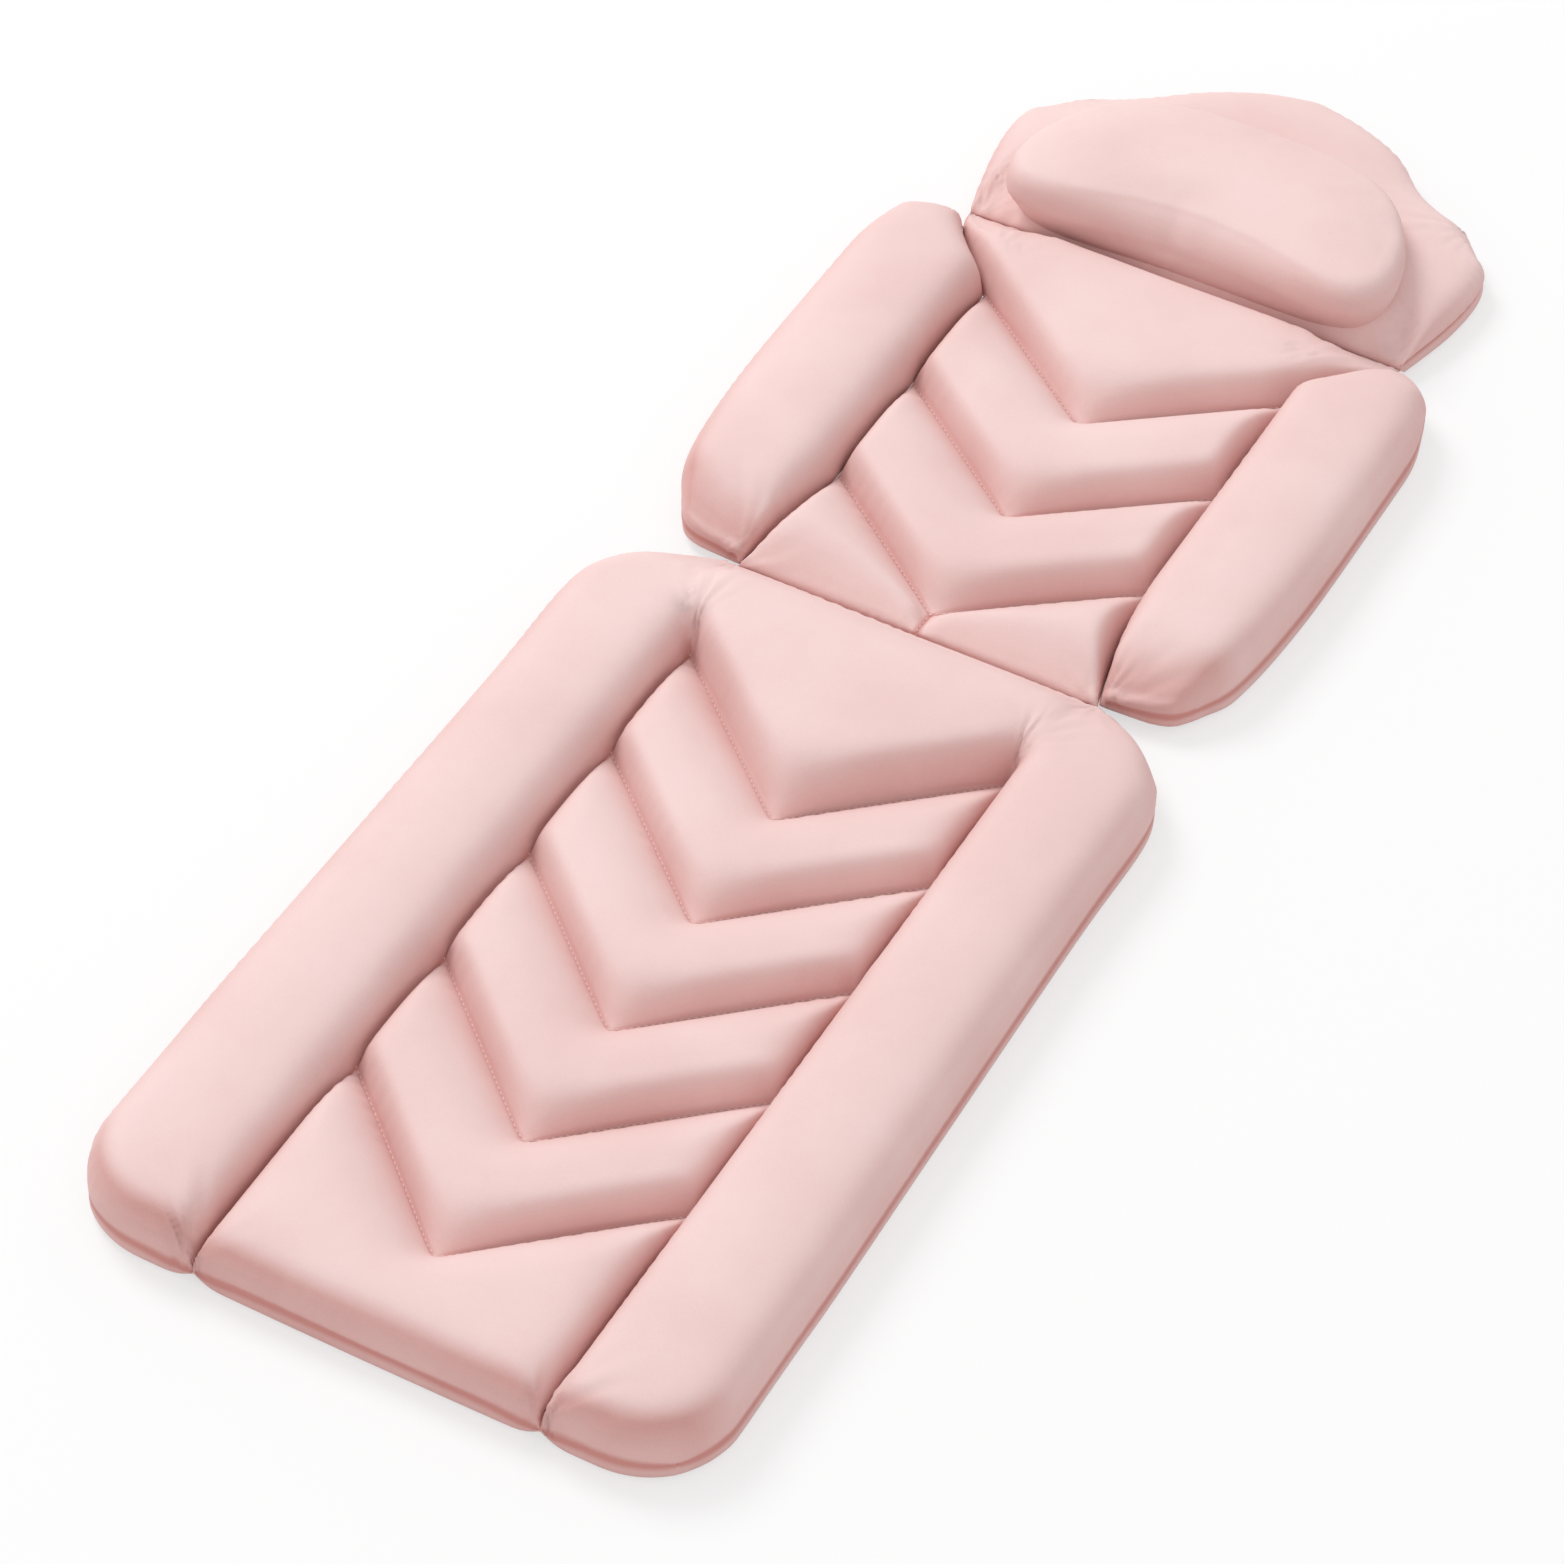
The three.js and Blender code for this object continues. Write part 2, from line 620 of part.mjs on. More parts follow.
function headNet() {
  const baseY = neckY + foldGap;
  const headHalf = neckHalf + headFlare;
  const rise = totalLength - baseY;
  const headPoint = ([x, y]) => new THREE.Vector2(headHalf * x, baseY + rise * y);
  const topCurve = new THREE.SplineCurve(headTopShares.map(headPoint));
  const corner = topCurve.getPoint(1);
  const side = new THREE.QuadraticBezierCurve(
    new THREE.Vector2(neckHalf, baseY),
    new THREE.Vector2(headHalf + headFlare / 2, baseY + rise * headBendShare),
    corner,
  );
  const half = coonsNet(
    laneShares.map((s) => new THREE.Vector2(neckHalf * s, baseY)),
    laneShares.map((s) => topCurve.getPointAt(s)),
    headRowShares.map((s) => new THREE.Vector2(0, baseY + rise * s)),
    headRowShares.map((s) => side.getPoint(s)),
    laneShares,
    headRowShares,
  );
  const rows = mirrored(half);
  const leftSide = rows.map((row) => row[0]);
  const rightSide = rows.map((row) => row.at(-1)).reverse();
  const outline = [...leftSide, ...rows.at(-1).slice(1), ...rightSide.slice(1)];
  const seams = [
    { line: outline, reach: headReach, profile: roundProfile },
    { line: rows[0], reach: headReach, profile: roundProfile },
  ];
  return cellNet(rows, seams, () => headCrown, []);
}

// Outline of the right half of the pillow, from the front middle to the back middle,
// in shares of its half width and of its depth.
const pillowSides = 40;
const pillowOutlineShares = [
  [0, 0], [0.3, 0], [0.55, 0], [0.76, 0.01], [0.91, 0.07], [0.99, 0.21],
  [0.98, 0.4], [0.91, 0.6], [0.78, 0.79], [0.6, 0.91], [0.31, 0.98], [0, 1],
];
const pillowLine = new THREE.SplineCurve(pillowOutlineShares.map(([x, y]) => new THREE.Vector2(x, 2 * y - 1)));
const pillowHalfLine = pillowLine.getSpacedPoints(pillowSides / 2);
const pillowWholeLine = [
  ...pillowHalfLine,
  ...pillowHalfLine.slice(1, -1).reverse().map((p) => new THREE.Vector2(-p.x, p.y)),
];

// The front of the ring is hollow in the middle, by the given share of the hollow.
function pillowRing(inset, z, hollowShare) {
  const centreY = neckY - pillowOverhang + pillowDepth / 2;
  return pillowWholeLine.map((p) => {
    const front = Math.max(0, -p.y) * Math.cos((Math.PI / 2) * p.x) ** 2;
    const y = centreY + (pillowDepth / 2 - inset) * p.y + pillowHollow * hollowShare * front;
    return new THREE.Vector3((pillowHalf - inset) * p.x, y, z);
  });
}

function ringsGeometry(rings) {
  const positions = [];
  const add = (...points) => points.forEach((p) => positions.push(p.x, p.y, p.z));
  const centreOf = (ring) => ring.reduce((sum, p) => sum.add(p), new THREE.Vector3()).divideScalar(ring.length);
  const bottomCentre = centreOf(rings[0]);
  const topCentre = centreOf(rings.at(-1));
  for (let i = 0; i < pillowSides; i += 1) {
    const j = (i + 1) % pillowSides;
    add(bottomCentre, rings[0][j], rings[0][i]);
    for (let k = 1; k < rings.length; k += 1) {
      add(rings[k - 1][i], rings[k - 1][j], rings[k][j]);
      add(rings[k - 1][i], rings[k][j], rings[k][i]);
    }
    add(topCentre, rings.at(-1)[i], rings.at(-1)[j]);
  }
  const geometry = new THREE.BufferGeometry();
  geometry.setAttribute("position", new THREE.Float32BufferAttribute(positions, 3));
  return geometry;
}

// The pillow is drawn in at its base seam, widest at its belly and domed above.
const bellyInsetShare = 0.25;
const bellyHollowShare = 0.65;
const domeShares = [0.05, 0.13, 0.26, 0.46, 0.7];
const domeRiseShares = [0.42, 0.66, 0.84, 0.95, 1];

function pillowGeometry(skin, overrun) {
  const base = seamTop + headCrown + clearance;
  const bellyZ = base + pillowHeight * pillowBellyShare;
  const domeHeight = pillowHeight * (1 - pillowBellyShare) - skin;
  const dome = domeShares.map((s, k) =>
    pillowRing((pillowDepth / 2) * s + skin, bellyZ + domeHeight * domeRiseShares[k], 1 - s),
  );
  return ringsGeometry([
    pillowRing(pillowBaseInset + skin, base - overrun, 0),
    pillowRing(pillowBaseInset * bellyInsetShare + skin, (base + bellyZ) / 2, bellyHollowShare / 2),
    pillowRing(skin, bellyZ, bellyHollowShare),
    ...dome,
  ]);
}

function addHeadSection() {
  const net = headNet();
  const places = pairAt(neckHalf - cupRadius * 2, neckY + headLength * headCupShare);
  addPiece("head_top_cover", coverGeometry(net), pink);
  const backing = backingGeometry(net, sagAwayFrom([neckY], false));
  addPiece("head_backing", withButtonHoles(backing, places), pinkBacking);
  addPiece("head_fill", withHeadPockets(fillGeometry(net, () => true), places), wadding);
  addCups("head", places);
  const shell = solidOf(pillowGeometry(0, 0));
  const hollow = solidOf(pillowGeometry(clothThickness, cutOverrun));
  addPiece("pillow_cover", geometryOf(shell.subtract(hollow)), pink);
  addPiece("pillow_fill", pillowGeometry(clothThickness + clearance, 0), wadding);
  seamBead("neck_seam", new THREE.Vector2(-laneHalf, neckY), new THREE.Vector2(laneHalf, neckY));
}

addLowerSection();
addBackSection();
addWing("left", -1);
addWing("right", 1);
addHeadSection();

export default cushion;
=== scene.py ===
import math
from collections import defaultdict

import bpy
import numpy as np
from mathutils import Matrix, Vector


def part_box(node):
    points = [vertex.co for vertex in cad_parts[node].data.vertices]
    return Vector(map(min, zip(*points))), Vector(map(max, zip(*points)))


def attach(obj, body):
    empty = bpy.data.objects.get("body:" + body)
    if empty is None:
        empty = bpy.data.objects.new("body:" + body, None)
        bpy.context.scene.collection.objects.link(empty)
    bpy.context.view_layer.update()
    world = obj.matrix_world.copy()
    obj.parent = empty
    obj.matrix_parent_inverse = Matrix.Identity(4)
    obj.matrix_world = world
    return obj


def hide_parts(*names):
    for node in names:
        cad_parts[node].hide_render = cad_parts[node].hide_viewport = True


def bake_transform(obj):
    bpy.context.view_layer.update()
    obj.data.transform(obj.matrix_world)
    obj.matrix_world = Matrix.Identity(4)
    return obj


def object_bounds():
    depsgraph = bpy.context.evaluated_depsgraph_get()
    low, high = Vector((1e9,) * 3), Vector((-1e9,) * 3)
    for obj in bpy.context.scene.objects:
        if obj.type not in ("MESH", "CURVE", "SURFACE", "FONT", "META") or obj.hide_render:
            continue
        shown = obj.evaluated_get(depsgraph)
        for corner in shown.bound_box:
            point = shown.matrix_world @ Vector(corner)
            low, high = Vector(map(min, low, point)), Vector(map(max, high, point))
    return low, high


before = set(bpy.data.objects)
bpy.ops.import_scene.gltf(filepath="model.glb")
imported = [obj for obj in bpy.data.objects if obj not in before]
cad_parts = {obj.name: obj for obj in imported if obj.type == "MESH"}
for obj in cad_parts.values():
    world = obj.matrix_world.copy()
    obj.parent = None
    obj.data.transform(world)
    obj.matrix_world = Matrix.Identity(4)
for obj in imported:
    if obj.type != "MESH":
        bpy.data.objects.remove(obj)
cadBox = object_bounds()
scene = bpy.context.scene
print("frame loaded")

# camera first: a long lens looking down on the cushion from its foot end
camera = dict(
    azimuth=27.731, elevation=45.708, roll=1.52, distance=3.5169,
    target=(-0.01743, -0.11257, -0.0034), lens=133.26, sensor=36.0, clipEnd=50.0)


def newObject(name, data):
    obj = bpy.data.objects.new(name, data)
    scene.collection.objects.link(obj)
    return obj


def addCamera(s):
    az, el, roll = (math.radians(s[key]) for key in ("azimuth", "elevation", "roll"))
    back = Vector((math.sin(az) * math.cos(el), -math.cos(az) * math.cos(el), math.sin(el)))
    data = bpy.data.cameras.new("photoCamera")
    data.lens = s["lens"]
    data.sensor_width = s["sensor"]
    data.clip_end = s["clipEnd"]
    obj = newObject("photoCamera", data)
    turn = back.to_track_quat("Z", "Y").to_matrix()
    obj.rotation_euler = (turn @ Matrix.Rotation(roll, 3, "Z")).to_euler()
    obj.location = Vector(s["target"]) + back * s["distance"]
    scene.camera = obj


addCamera(camera)

# where the frame puts the folds
footY = cadBox[0][1]
waistY = sum(v.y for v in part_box("waist_seam")) / 2
neckY = sum(v.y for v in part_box("neck_seam")) / 2
seamZ = sum(v.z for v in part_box("waist_seam")) / 2
seamHalf = 0.0014
seamTop = seamZ + seamHalf
panelZ = seamZ - seamHalf
hingeX = sum(v.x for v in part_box("right_wing_seam")) / 2
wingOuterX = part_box("right_wing_cover")[1].x
headTopY = cadBox[1][1]

# sewing plan shared by all sections, in metres
plan = dict(
    step=0.0052, crowd=0.55, bottomSag=0.0036, edgeSag=0.0048, floorGap=0.0012,
    rimRise=0.0026, rimTuck=0.0026, backingReach=0.02, rollReach=0.009, rollFrom=0.02, rollSpan=0.05,
    cupDimple=0.026, tipWiden=0.8, tipSpan=0.022, leastShare=0.4,
    pinchDrop=0.0062, pinchReach=0.020, pinchTuck=0.0020, pinchWidth=0.013, rollShare=0.25,
    pucker=0.00055, puckerLength=0.0105, puckerReach=0.009, puckerGap=0.003, seamWidth=0.0018, crease=0.9,
    # painted shade: how strongly the seam mask darkens steep walls, seam lines and foot-facing walls near the
    # outline
    steepFrom=0.85, steepSpan=0.55, steepShade=0.30, quiltShade=0.55, lineShade=0.9,
    rimShade=0.62, rimShadeAt=0.011, rimShadeSpan=0.016, wallFrom=0.97, wallSpan=0.3, footBias=0.3, footLean=1.4,
    foldTop=1.58, foldUnder=0.53, neckUnder=0.95,
    gatherLevel=0.35, gatherGap=0.005, gatherSway=0.7, gatherRate=90)


# 0 to 1 in steps of about the plan's step, closer together at both ends
def crowdedShares(length, crowd=None):
    count = max(4, round(length / plan["step"]))
    even = np.linspace(0, 1, count + 1)
    eased = 0.5 - 0.5 * np.cos(np.pi * even)
    k = plan["crowd"] if crowd is None else crowd
    return even * (1 - k) + eased * k


# points on a smooth line through the given ones, at shares of its length
def smoothLine(points, shares, samples=24):
    p = np.array(points, float)
    ends = np.vstack([2 * p[0] - p[1], p, 2 * p[-1] - p[-2]])
    t = np.linspace(0, 1, samples, endpoint=False)[:, None]
    runs = []
    for a, b, c, d in zip(ends, ends[1:], ends[2:], ends[3:]):
        runs.append(0.5 * (2 * b + (c - a) * t + (2 * a - 5 * b + 4 * c - d) * t ** 2
                           + (3 * b - a - 3 * c + d) * t ** 3))
    return atShares(np.vstack(runs + [p[-1:]]), shares)


def atShares(line, shares):
    run = np.concatenate([[0], np.cumsum(np.linalg.norm(np.diff(line, axis=0), axis=1))])
    want = np.asarray(shares) * run[-1]
    return np.stack([np.interp(want, run, line[:, k]) for k in range(line.shape[1])], 1)


# a net of plan places between four border lines
def coonsNet(low, high, inner, outer, across, along):
    u, v = across[None, :, None], along[:, None, None]
    ruled = low[None] * (1 - v) + high[None] * v + inner[:, None] * (1 - u) + outer[:, None] * u
    lowEdge = low[0] * (1 - u) + low[-1] * u
    highEdge = high[0] * (1 - u) + high[-1] * u
    return ruled - (lowEdge * (1 - v) + highEdge * v)


def mirrored(half):
    left = half[:, :0:-1] * np.array([-1.0, 1.0])
    return np.concatenate([left, half], 1)


# distance to a line, and how far along it the nearest place is
def nearLine(points, line):
    best = np.full(len(points), np.inf)
    place = np.zeros(len(points))
    run = 0.0
    for a, b in zip(line, line[1:]):
        edge = b - a
        size = float(edge @ edge)
        if size < 1e-14:
            continue
        share = np.clip((points - a) @ edge / size, 0, 1)
        away = np.linalg.norm(points - a - share[:, None] * edge, axis=1)
        closer = away < best
        best[closer] = away[closer]
        place[closer] = run + share[closer] * math.sqrt(size)
        run += math.sqrt(size)
    return best, place


# the outline and the bolsters have steep rolled walls and a flat top; the quilted rows are rounder
def wallProfile(t):
    return np.sqrt(1 - (1 - np.clip(t, 0, 1)) ** 3)


def quiltProfile(t):
    return (1 - (1 - np.clip(t, 0, 1)) ** 3) ** 1.2


# a chevron seam has an easy slope on its foot side and a steep wall with a soft corner on its head side
def stuffedRise(points, seams):
    least = np.ones(len(points))
    product = np.ones(len(points))
    for seam in seams:
        line = seam["line"]
        near = nearLine(points, line)[0]
        part = seam["shape"](near / seam["reach"])
        if "footReach" in seam:
            headSide = points[:, 1] > np.interp(points[:, 0], line[:, 0], line[:, 1])
            middle = len(line) // 2
            reach = seam["reach"] * (1 + plan["tipWiden"] * np.exp(-(points[:, 0] / plan["tipSpan"]) ** 2))
            halves = (line[:middle + 1], line[middle:])
            arms = [seam["shape"](nearLine(points, half)[0] / reach) for half in halves]
            slope = 1 - (1 - np.clip(near / seam["footReach"], 0, 1)) ** 2
            part = np.where(headSide, arms[0] * arms[1], slope)
            part = np.where(np.abs(points[:, 0]) > line[-1, 0] + 1e-6, 1, part)
        least = np.minimum(least, part)
        product *= part
    return plan["leastShare"] * least + (1 - plan["leastShare"]) * product


# how high the stuffing may stand beside a fold, so that the fold can close; it falls off towards the corners
def foldRelief(points, folds):
    room = np.full(len(points), 1.0)
    for y, steep, cornerX, cornerSpan, cornerSteep in folds:
        edge = np.clip((np.abs(points[:, 0]) - cornerX) / cornerSpan, 0, 1)
        slope = np.tan(np.radians(steep * (1 - edge) + cornerSteep * edge))
        room = np.minimum(room, np.abs(points[:, 1] - y) * slope)
    return room


# the lower of two heights, with a rounded corner between them
def softLower(a, b, width=0.014):
    share = np.clip(0.5 + 0.5 * (b - a) / width, 0, 1)
    return a * share + b * (1 - share) - width * share * (1 - share) * np.clip(np.minimum(a, b) / width, 0, 1)


# the backing sags a little between the seams, rolls down inside the free edges and dimples at each cup
def undersideOf(points, rim, seams, foldYs, cups):
    rise = np.ones(len(points))
    for seam in seams:
        rise = np.minimum(rise, quiltProfile(nearLine(points, seam["line"])[0] / plan["backingReach"]))
    fromRim = nearLine(points, rim)[0]
    inward = np.clip((fromRim - plan["rollFrom"]) / plan["rollSpan"], 0, 1)
    roll = wallProfile(fromRim / plan["rollReach"]) * (1 - inward ** 2)
    for y in foldYs:
        roll = roll * np.clip(np.abs(points[:, 1] - y) / plan["rollSpan"], 0, 1)
    sag = plan["bottomSag"] * rise + plan["edgeSag"] * roll * rise
    for x, y in cups:
        gone = np.hypot(points[:, 0] - x, points[:, 1] - y)
        sag = sag * (1 - np.exp(-(gone / plan["cupDimple"]) ** 4))
    return panelZ - sag


def unitOf(vectors):
    return vectors / np.maximum(np.linalg.norm(vectors, axis=-1, keepdims=True), 1e-9)


# a padded piece is one closed skin: a top net and a bottom net that share their border
# free marks the border points of open edges, where both nets bulge out past the edge seam
def padObject(name, net, top, bottom, pinned, free, pinches):
    high, wide = net.shape[:2]
    border = np.zeros((high, wide), bool)
    border[[0, -1], :] = True
    border[:, [0, -1]] = True
    r, c = np.indices((high, wide))
    within = net[np.clip(r, 1, high - 2), np.clip(c, 1, wide - 2)]
    out = unitOf(net - within)
    openEdge = (border & free)[:, :, None]
    near = np.full((high, wide), np.inf)
    for pinch in pinches:
        near = np.minimum(near, np.linalg.norm(net - np.array(pinch), axis=2))
    pull = plan["pinchTuck"] * np.exp(-(near / plan["pinchWidth"]) ** 2)
    edge = np.where(openEdge, net - out * (plan["rimTuck"] + pull)[:, :, None], net)
    ring = (np.minimum.reduce([r, c, high - 1 - r, wide - 1 - c]) == 1)
    beside = (np.where(r <= 1, 0, np.where(r >= high - 2, high - 1, r)),
              np.where(c <= 1, 0, np.where(c >= wide - 2, wide - 1, c)))
    inward = net - net[beside]
    rolled = net[beside] + inward * plan["rollShare"] + unitOf(inward) * pull[:, :, None]
    plane = np.where((ring & free[beside])[:, :, None], rolled, edge)
    rimZ = seamZ + plan["rimRise"] - plan["pinchDrop"] * np.exp(-(near / plan["pinchReach"]) ** 2)
    borderZ = np.where(free, rimZ, seamZ)
    topIndex = np.arange(high * wide).reshape(high, wide)
    bottomIndex = topIndex.copy()
    inner = ~border
    bottomIndex[inner] = high * wide + np.arange(inner.sum())
    upper = np.dstack([plane, np.where(border, borderZ, top.reshape(high, wide))]).reshape(-1, 3)
    under = np.dstack([plane, bottom.reshape(high, wide)])[inner]
    faces = []
    for grid, flip in ((topIndex, False), (bottomIndex, True)):
        a, b = grid[:-1, :-1].ravel(), grid[:-1, 1:].ravel()
        c, d = grid[1:, 1:].ravel(), grid[1:, :-1].ravel()
        faces.append(np.stack([a, d, c, b] if flip else [a, b, c, d], 1))
    mesh = bpy.data.meshes.new(name)
    mesh.from_pydata(np.vstack([upper, under]).tolist(), [], np.vstack(faces).tolist())
    mesh.update()
    setMask(mesh, "upper", np.concatenate([np.where(border, 0.5, 1.0).ravel(), np.zeros(inner.sum())]))
    # the rim mask later becomes a thin painted shade line along the open edge seams
    setMask(mesh, "rim", np.concatenate([(border & free).astype(float).ravel(), np.zeros(inner.sum())]))
    obj = newObject(name, mesh)
    held = np.concatenate([(pinned | border).ravel(), pinned[inner]])
    creaseSeams(mesh, held)
    return obj, held, topIndex


def edgePairs(mesh):
    pairs = np.empty(len(mesh.edges) * 2, int)
    mesh.edges.foreach_get("vertices", pairs)
    return pairs.reshape(-1, 2)


# keeps the sewn lines sharp through the subdivision
def creaseSeams(mesh, held):
    sharp = held[edgePairs(mesh)].all(axis=1)
    crease = mesh.attributes.new("crease_edge", "FLOAT", "EDGE")
    crease.data.foreach_set("value", sharp.astype(np.float32) * plan["crease"])


def setMask(mesh, name, values):
    mask = mesh.attributes.get(name) or mesh.attributes.new(name, "FLOAT", "POINT")
    mask.data.foreach_set("value", values.astype(np.float32))


def getMask(mesh, name):
    values = np.zeros(len(mesh.vertices), np.float32)
    if name in mesh.attributes:
        mesh.attributes[name].data.foreach_get("value", values)
    return values.astype(float)


# stuffing: the skin is blown up a little between its pinned seams
stuffing = dict(
    pressure=3.0, frames=20, cap=0.007, quality=5, mass=0.25, tension=15.0, shearShare=0.5, bending=2.0,
    damping=10.0, evenings=6)


def stuffPad(obj, held, s=stuffing, cap=None):
    start = np.array([v.co for v in obj.data.vertices])
    group = obj.vertex_groups.new(name="seams")
    group.add([int(i) for i in np.nonzero(held)[0]], 1.0, "REPLACE")
    cloth = obj.modifiers.new("stuffing", "CLOTH")
    c = cloth.settings
    c.quality = s["quality"]
    c.mass = s["mass"]
    c.tension_stiffness = c.compression_stiffness = s["tension"]
    c.shear_stiffness = s["tension"] * s["shearShare"]
    c.bending_stiffness = s["bending"]
    c.tension_damping = c.compression_damping = s["damping"]
    c.use_pressure = True
    c.uniform_pressure_force = s["pressure"]
    c.vertex_group_mass = "seams"
    c.effector_weights.gravity = 0.0
    cloth.collision_settings.use_collision = False
    cloth.point_cache.frame_start = 1
    cloth.point_cache.frame_end = s["frames"]
    for frameNumber in range(1, s["frames"] + 1):
        scene.frame_set(frameNumber)
    evaluated = obj.evaluated_get(bpy.context.evaluated_depsgraph_get())
    shift = np.array([v.co for v in evaluated.data.vertices]) - start
    size = np.linalg.norm(shift, axis=1, keepdims=True)
    limit = s["cap"] if cap is None else cap
    shift *= np.minimum(1, limit / np.maximum(size, 1e-9))
    obj.modifiers.remove(cloth)
    scene.frame_set(1)
    placed = start + evened(obj.data, shift, held, s["evenings"])
    placed[:, 2] = np.maximum(placed[:, 2], plan["floorGap"])
    obj.data.vertices.foreach_set("co", placed.ravel())
    obj.data.update()
    obj.vertex_groups.clear()


# evens out the swelling over neighbouring points, which takes the buckles out of the cloth
def evened(mesh, shift, held, turns):
    pairs = edgePairs(mesh)
    a, b = pairs.T
    count = np.bincount(pairs.ravel(), minlength=len(shift))[:, None]
    for _ in range(turns):
        total = np.zeros_like(shift)
        np.add.at(total, a, shift[b])
        np.add.at(total, b, shift[a])
        shift = np.where(held[:, None], shift, 0.5 * shift + 0.5 * total / np.maximum(count, 1))
    return shift


# creases that run out of a stitched corner, as gathered cloth does
def gatherLift(points, g):
    x, y, heading, spread, reach, depth, folds = g
    away = points - np.array([x, y])
    r = np.linalg.norm(away, axis=1)
    angle = np.arctan2(away[:, 1], away[:, 0]) - math.radians(heading)
    angle = (angle + np.pi) % (2 * np.pi) - np.pi
    turn = math.radians(spread)
    sway = plan["gatherSway"] * np.sin(r * plan["gatherRate"])
    crease = plan["gatherLevel"] - np.abs(np.cos(angle * folds * np.pi / (2 * turn) + sway)) ** 6
    crease += 0.5 * np.cos(angle * folds * 1.7 * np.pi / (2 * turn) + 1.1)
    fade = np.exp(-(angle / turn) ** 2) * np.clip(r / plan["gatherGap"], 0, 1) * np.exp(-(r / reach) ** 2)
    return depth * crease * fade


# the same gathers at a left and a right corner, each with its own depth
def gatherPair(x, y, heading, spread, reach, depths, folds):
    return [(-x, y, heading, spread, reach, depths[0], folds),
            (x, y, 180 - heading, spread, reach, depths[1], folds)]


# one subdivision, applied; then fine puckers beside the stitches, gathers, and the mask of painted shade in
# the seam grooves, on steep walls and on foot-facing walls near the outline
# each fold, with its side and its slopes above and below, trims the swelling so that the fold can close
def finishPad(obj, body, replaced, seams=(), gathers=(), press=None, folds=()):
    count = len(obj.data.vertices)
    sub = obj.modifiers.new("smooth", "SUBSURF")
    sub.levels = sub.render_levels = 1
    graph = bpy.context.evaluated_depsgraph_get()
    mesh = bpy.data.meshes.new_from_object(obj.evaluated_get(graph))
    obj.modifiers.clear()
    obj.data = mesh
    mesh.name = obj.name
    mesh.materials.clear()
    mesh.materials.append(pinkKnit)
    mesh.polygons.foreach_set("use_smooth", [True] * len(mesh.polygons))
    places = np.empty(len(mesh.vertices) * 3)
    mesh.vertices.foreach_get("co", places)
    places = places.reshape(-1, 3)
    normals = np.empty(len(mesh.vertices) * 3, np.float32)
    mesh.vertex_normals.foreach_get("vector", normals)
    normals = normals.reshape(-1, 3)
    upper = getMask(mesh, "upper")
    flat = places[:, :2]
    # painted shade: a thin dark line along the open edge seams, from the rim mask
    shade = getMask(mesh, "rim") ** 6
    # painted shade: steep walls turn towards the deep colour, as shaded fabric looks redder
    steep = np.clip((plan["steepFrom"] - np.abs(normals[:, 2])) / plan["steepSpan"], 0, 1)
    shade = np.maximum(shade, plan["steepShade"] * steep)
    # painted shade: walls facing the foot, away from the key lamp, darken in a band about a centimetre inside
    # the edge seam
    wall = np.clip((plan["wallFrom"] - np.abs(normals[:, 2])) / plan["wallSpan"], 0, 1)
    footward = wall * np.clip(plan["footBias"] - plan["footLean"] * normals[:, 1], 0, 1)
    lift = np.zeros(len(places))
    for k, seam in enumerate(seams):
        away, place = nearLine(flat, seam["line"])
        if seam.get("rim"):
            band = np.exp(-((away - plan["rimShadeAt"]) / plan["rimShadeSpan"]) ** 2)
            shade = np.maximum(shade, plan["rimShade"] * footward * band)
        else:
            # painted shade: a thin dark line in each sewn seam groove, weaker on the quilting chevrons
            depth = plan["quiltShade"] if "footReach" in seam else plan["lineShade"]
            shade = np.maximum(shade, depth * np.exp(-(away / plan["seamWidth"]) ** 2) * upper)
        wave = np.sin(2 * np.pi * place / plan["puckerLength"] + 2.1 * np.sin(place * 71 + k))
        wave *= 0.5 + 0.5 * np.sin(place * 37 + 1.7 * k)
        fade = np.exp(-(away / plan["puckerReach"]) ** 2) * np.clip(away / plan["puckerGap"], 0, 1)
        lift += wave * fade * plan["pucker"] * seam.get("pucker", 1.0)
    for g in gathers:
        lift += gatherLift(flat, g)
    if press is not None:
        lift += press(places)
    places += normals * (lift * upper)[:, None]
    for y, side, topSlope, underSlope in folds:
        room = side * (places[:, 1] - y)
        places[:, 1] = np.where(room < 0, y, places[:, 1])
        room = np.maximum(room, 0)
        places[:, 2] = np.clip(places[:, 2], seamZ - room * underSlope, seamZ + room * topSlope)
    mesh.vertices.foreach_set("co", places.ravel())
    # the mask of painted shade is stored as the seam attribute for the knit material
    setMask(mesh, "seam", shade)
    mesh.update()
    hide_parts(*replaced)
    if isinstance(body, str):
        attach(obj, body)
    else:
        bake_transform(obj)
    print(obj.name, len(mesh.polygons), "faces")
    return places[:count]


# suction cup places, as the frame has them
cupPlaces = defaultdict(list)
for nodeName in sorted(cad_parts):
    if "_suction_cup_" in nodeName:
        body = nodeName.split("_suction_cup_")[0]
        body = body if body.endswith("wing") else body + "_section"
        low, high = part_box(nodeName)
        cupPlaces[body].append(((low.x + high.x) / 2, (low.y + high.y) / 2))
stitchLines = defaultdict(list)


def linear(r, g, b):
    return tuple(((c / 255 + 0.055) / 1.055) ** 2.4 for c in (r, g, b)) + (1.0,)


def setInputs(node, inputs):
    for key, value in inputs.items():
        node.inputs[key].default_value = value


def addNode(tree, kind, where, inputs=None, **values):
    node = tree.nodes.new(kind)
    node.location = where
    for key, value in values.items():
        setattr(node, key, value)
    setInputs(node, inputs or {})
    return node


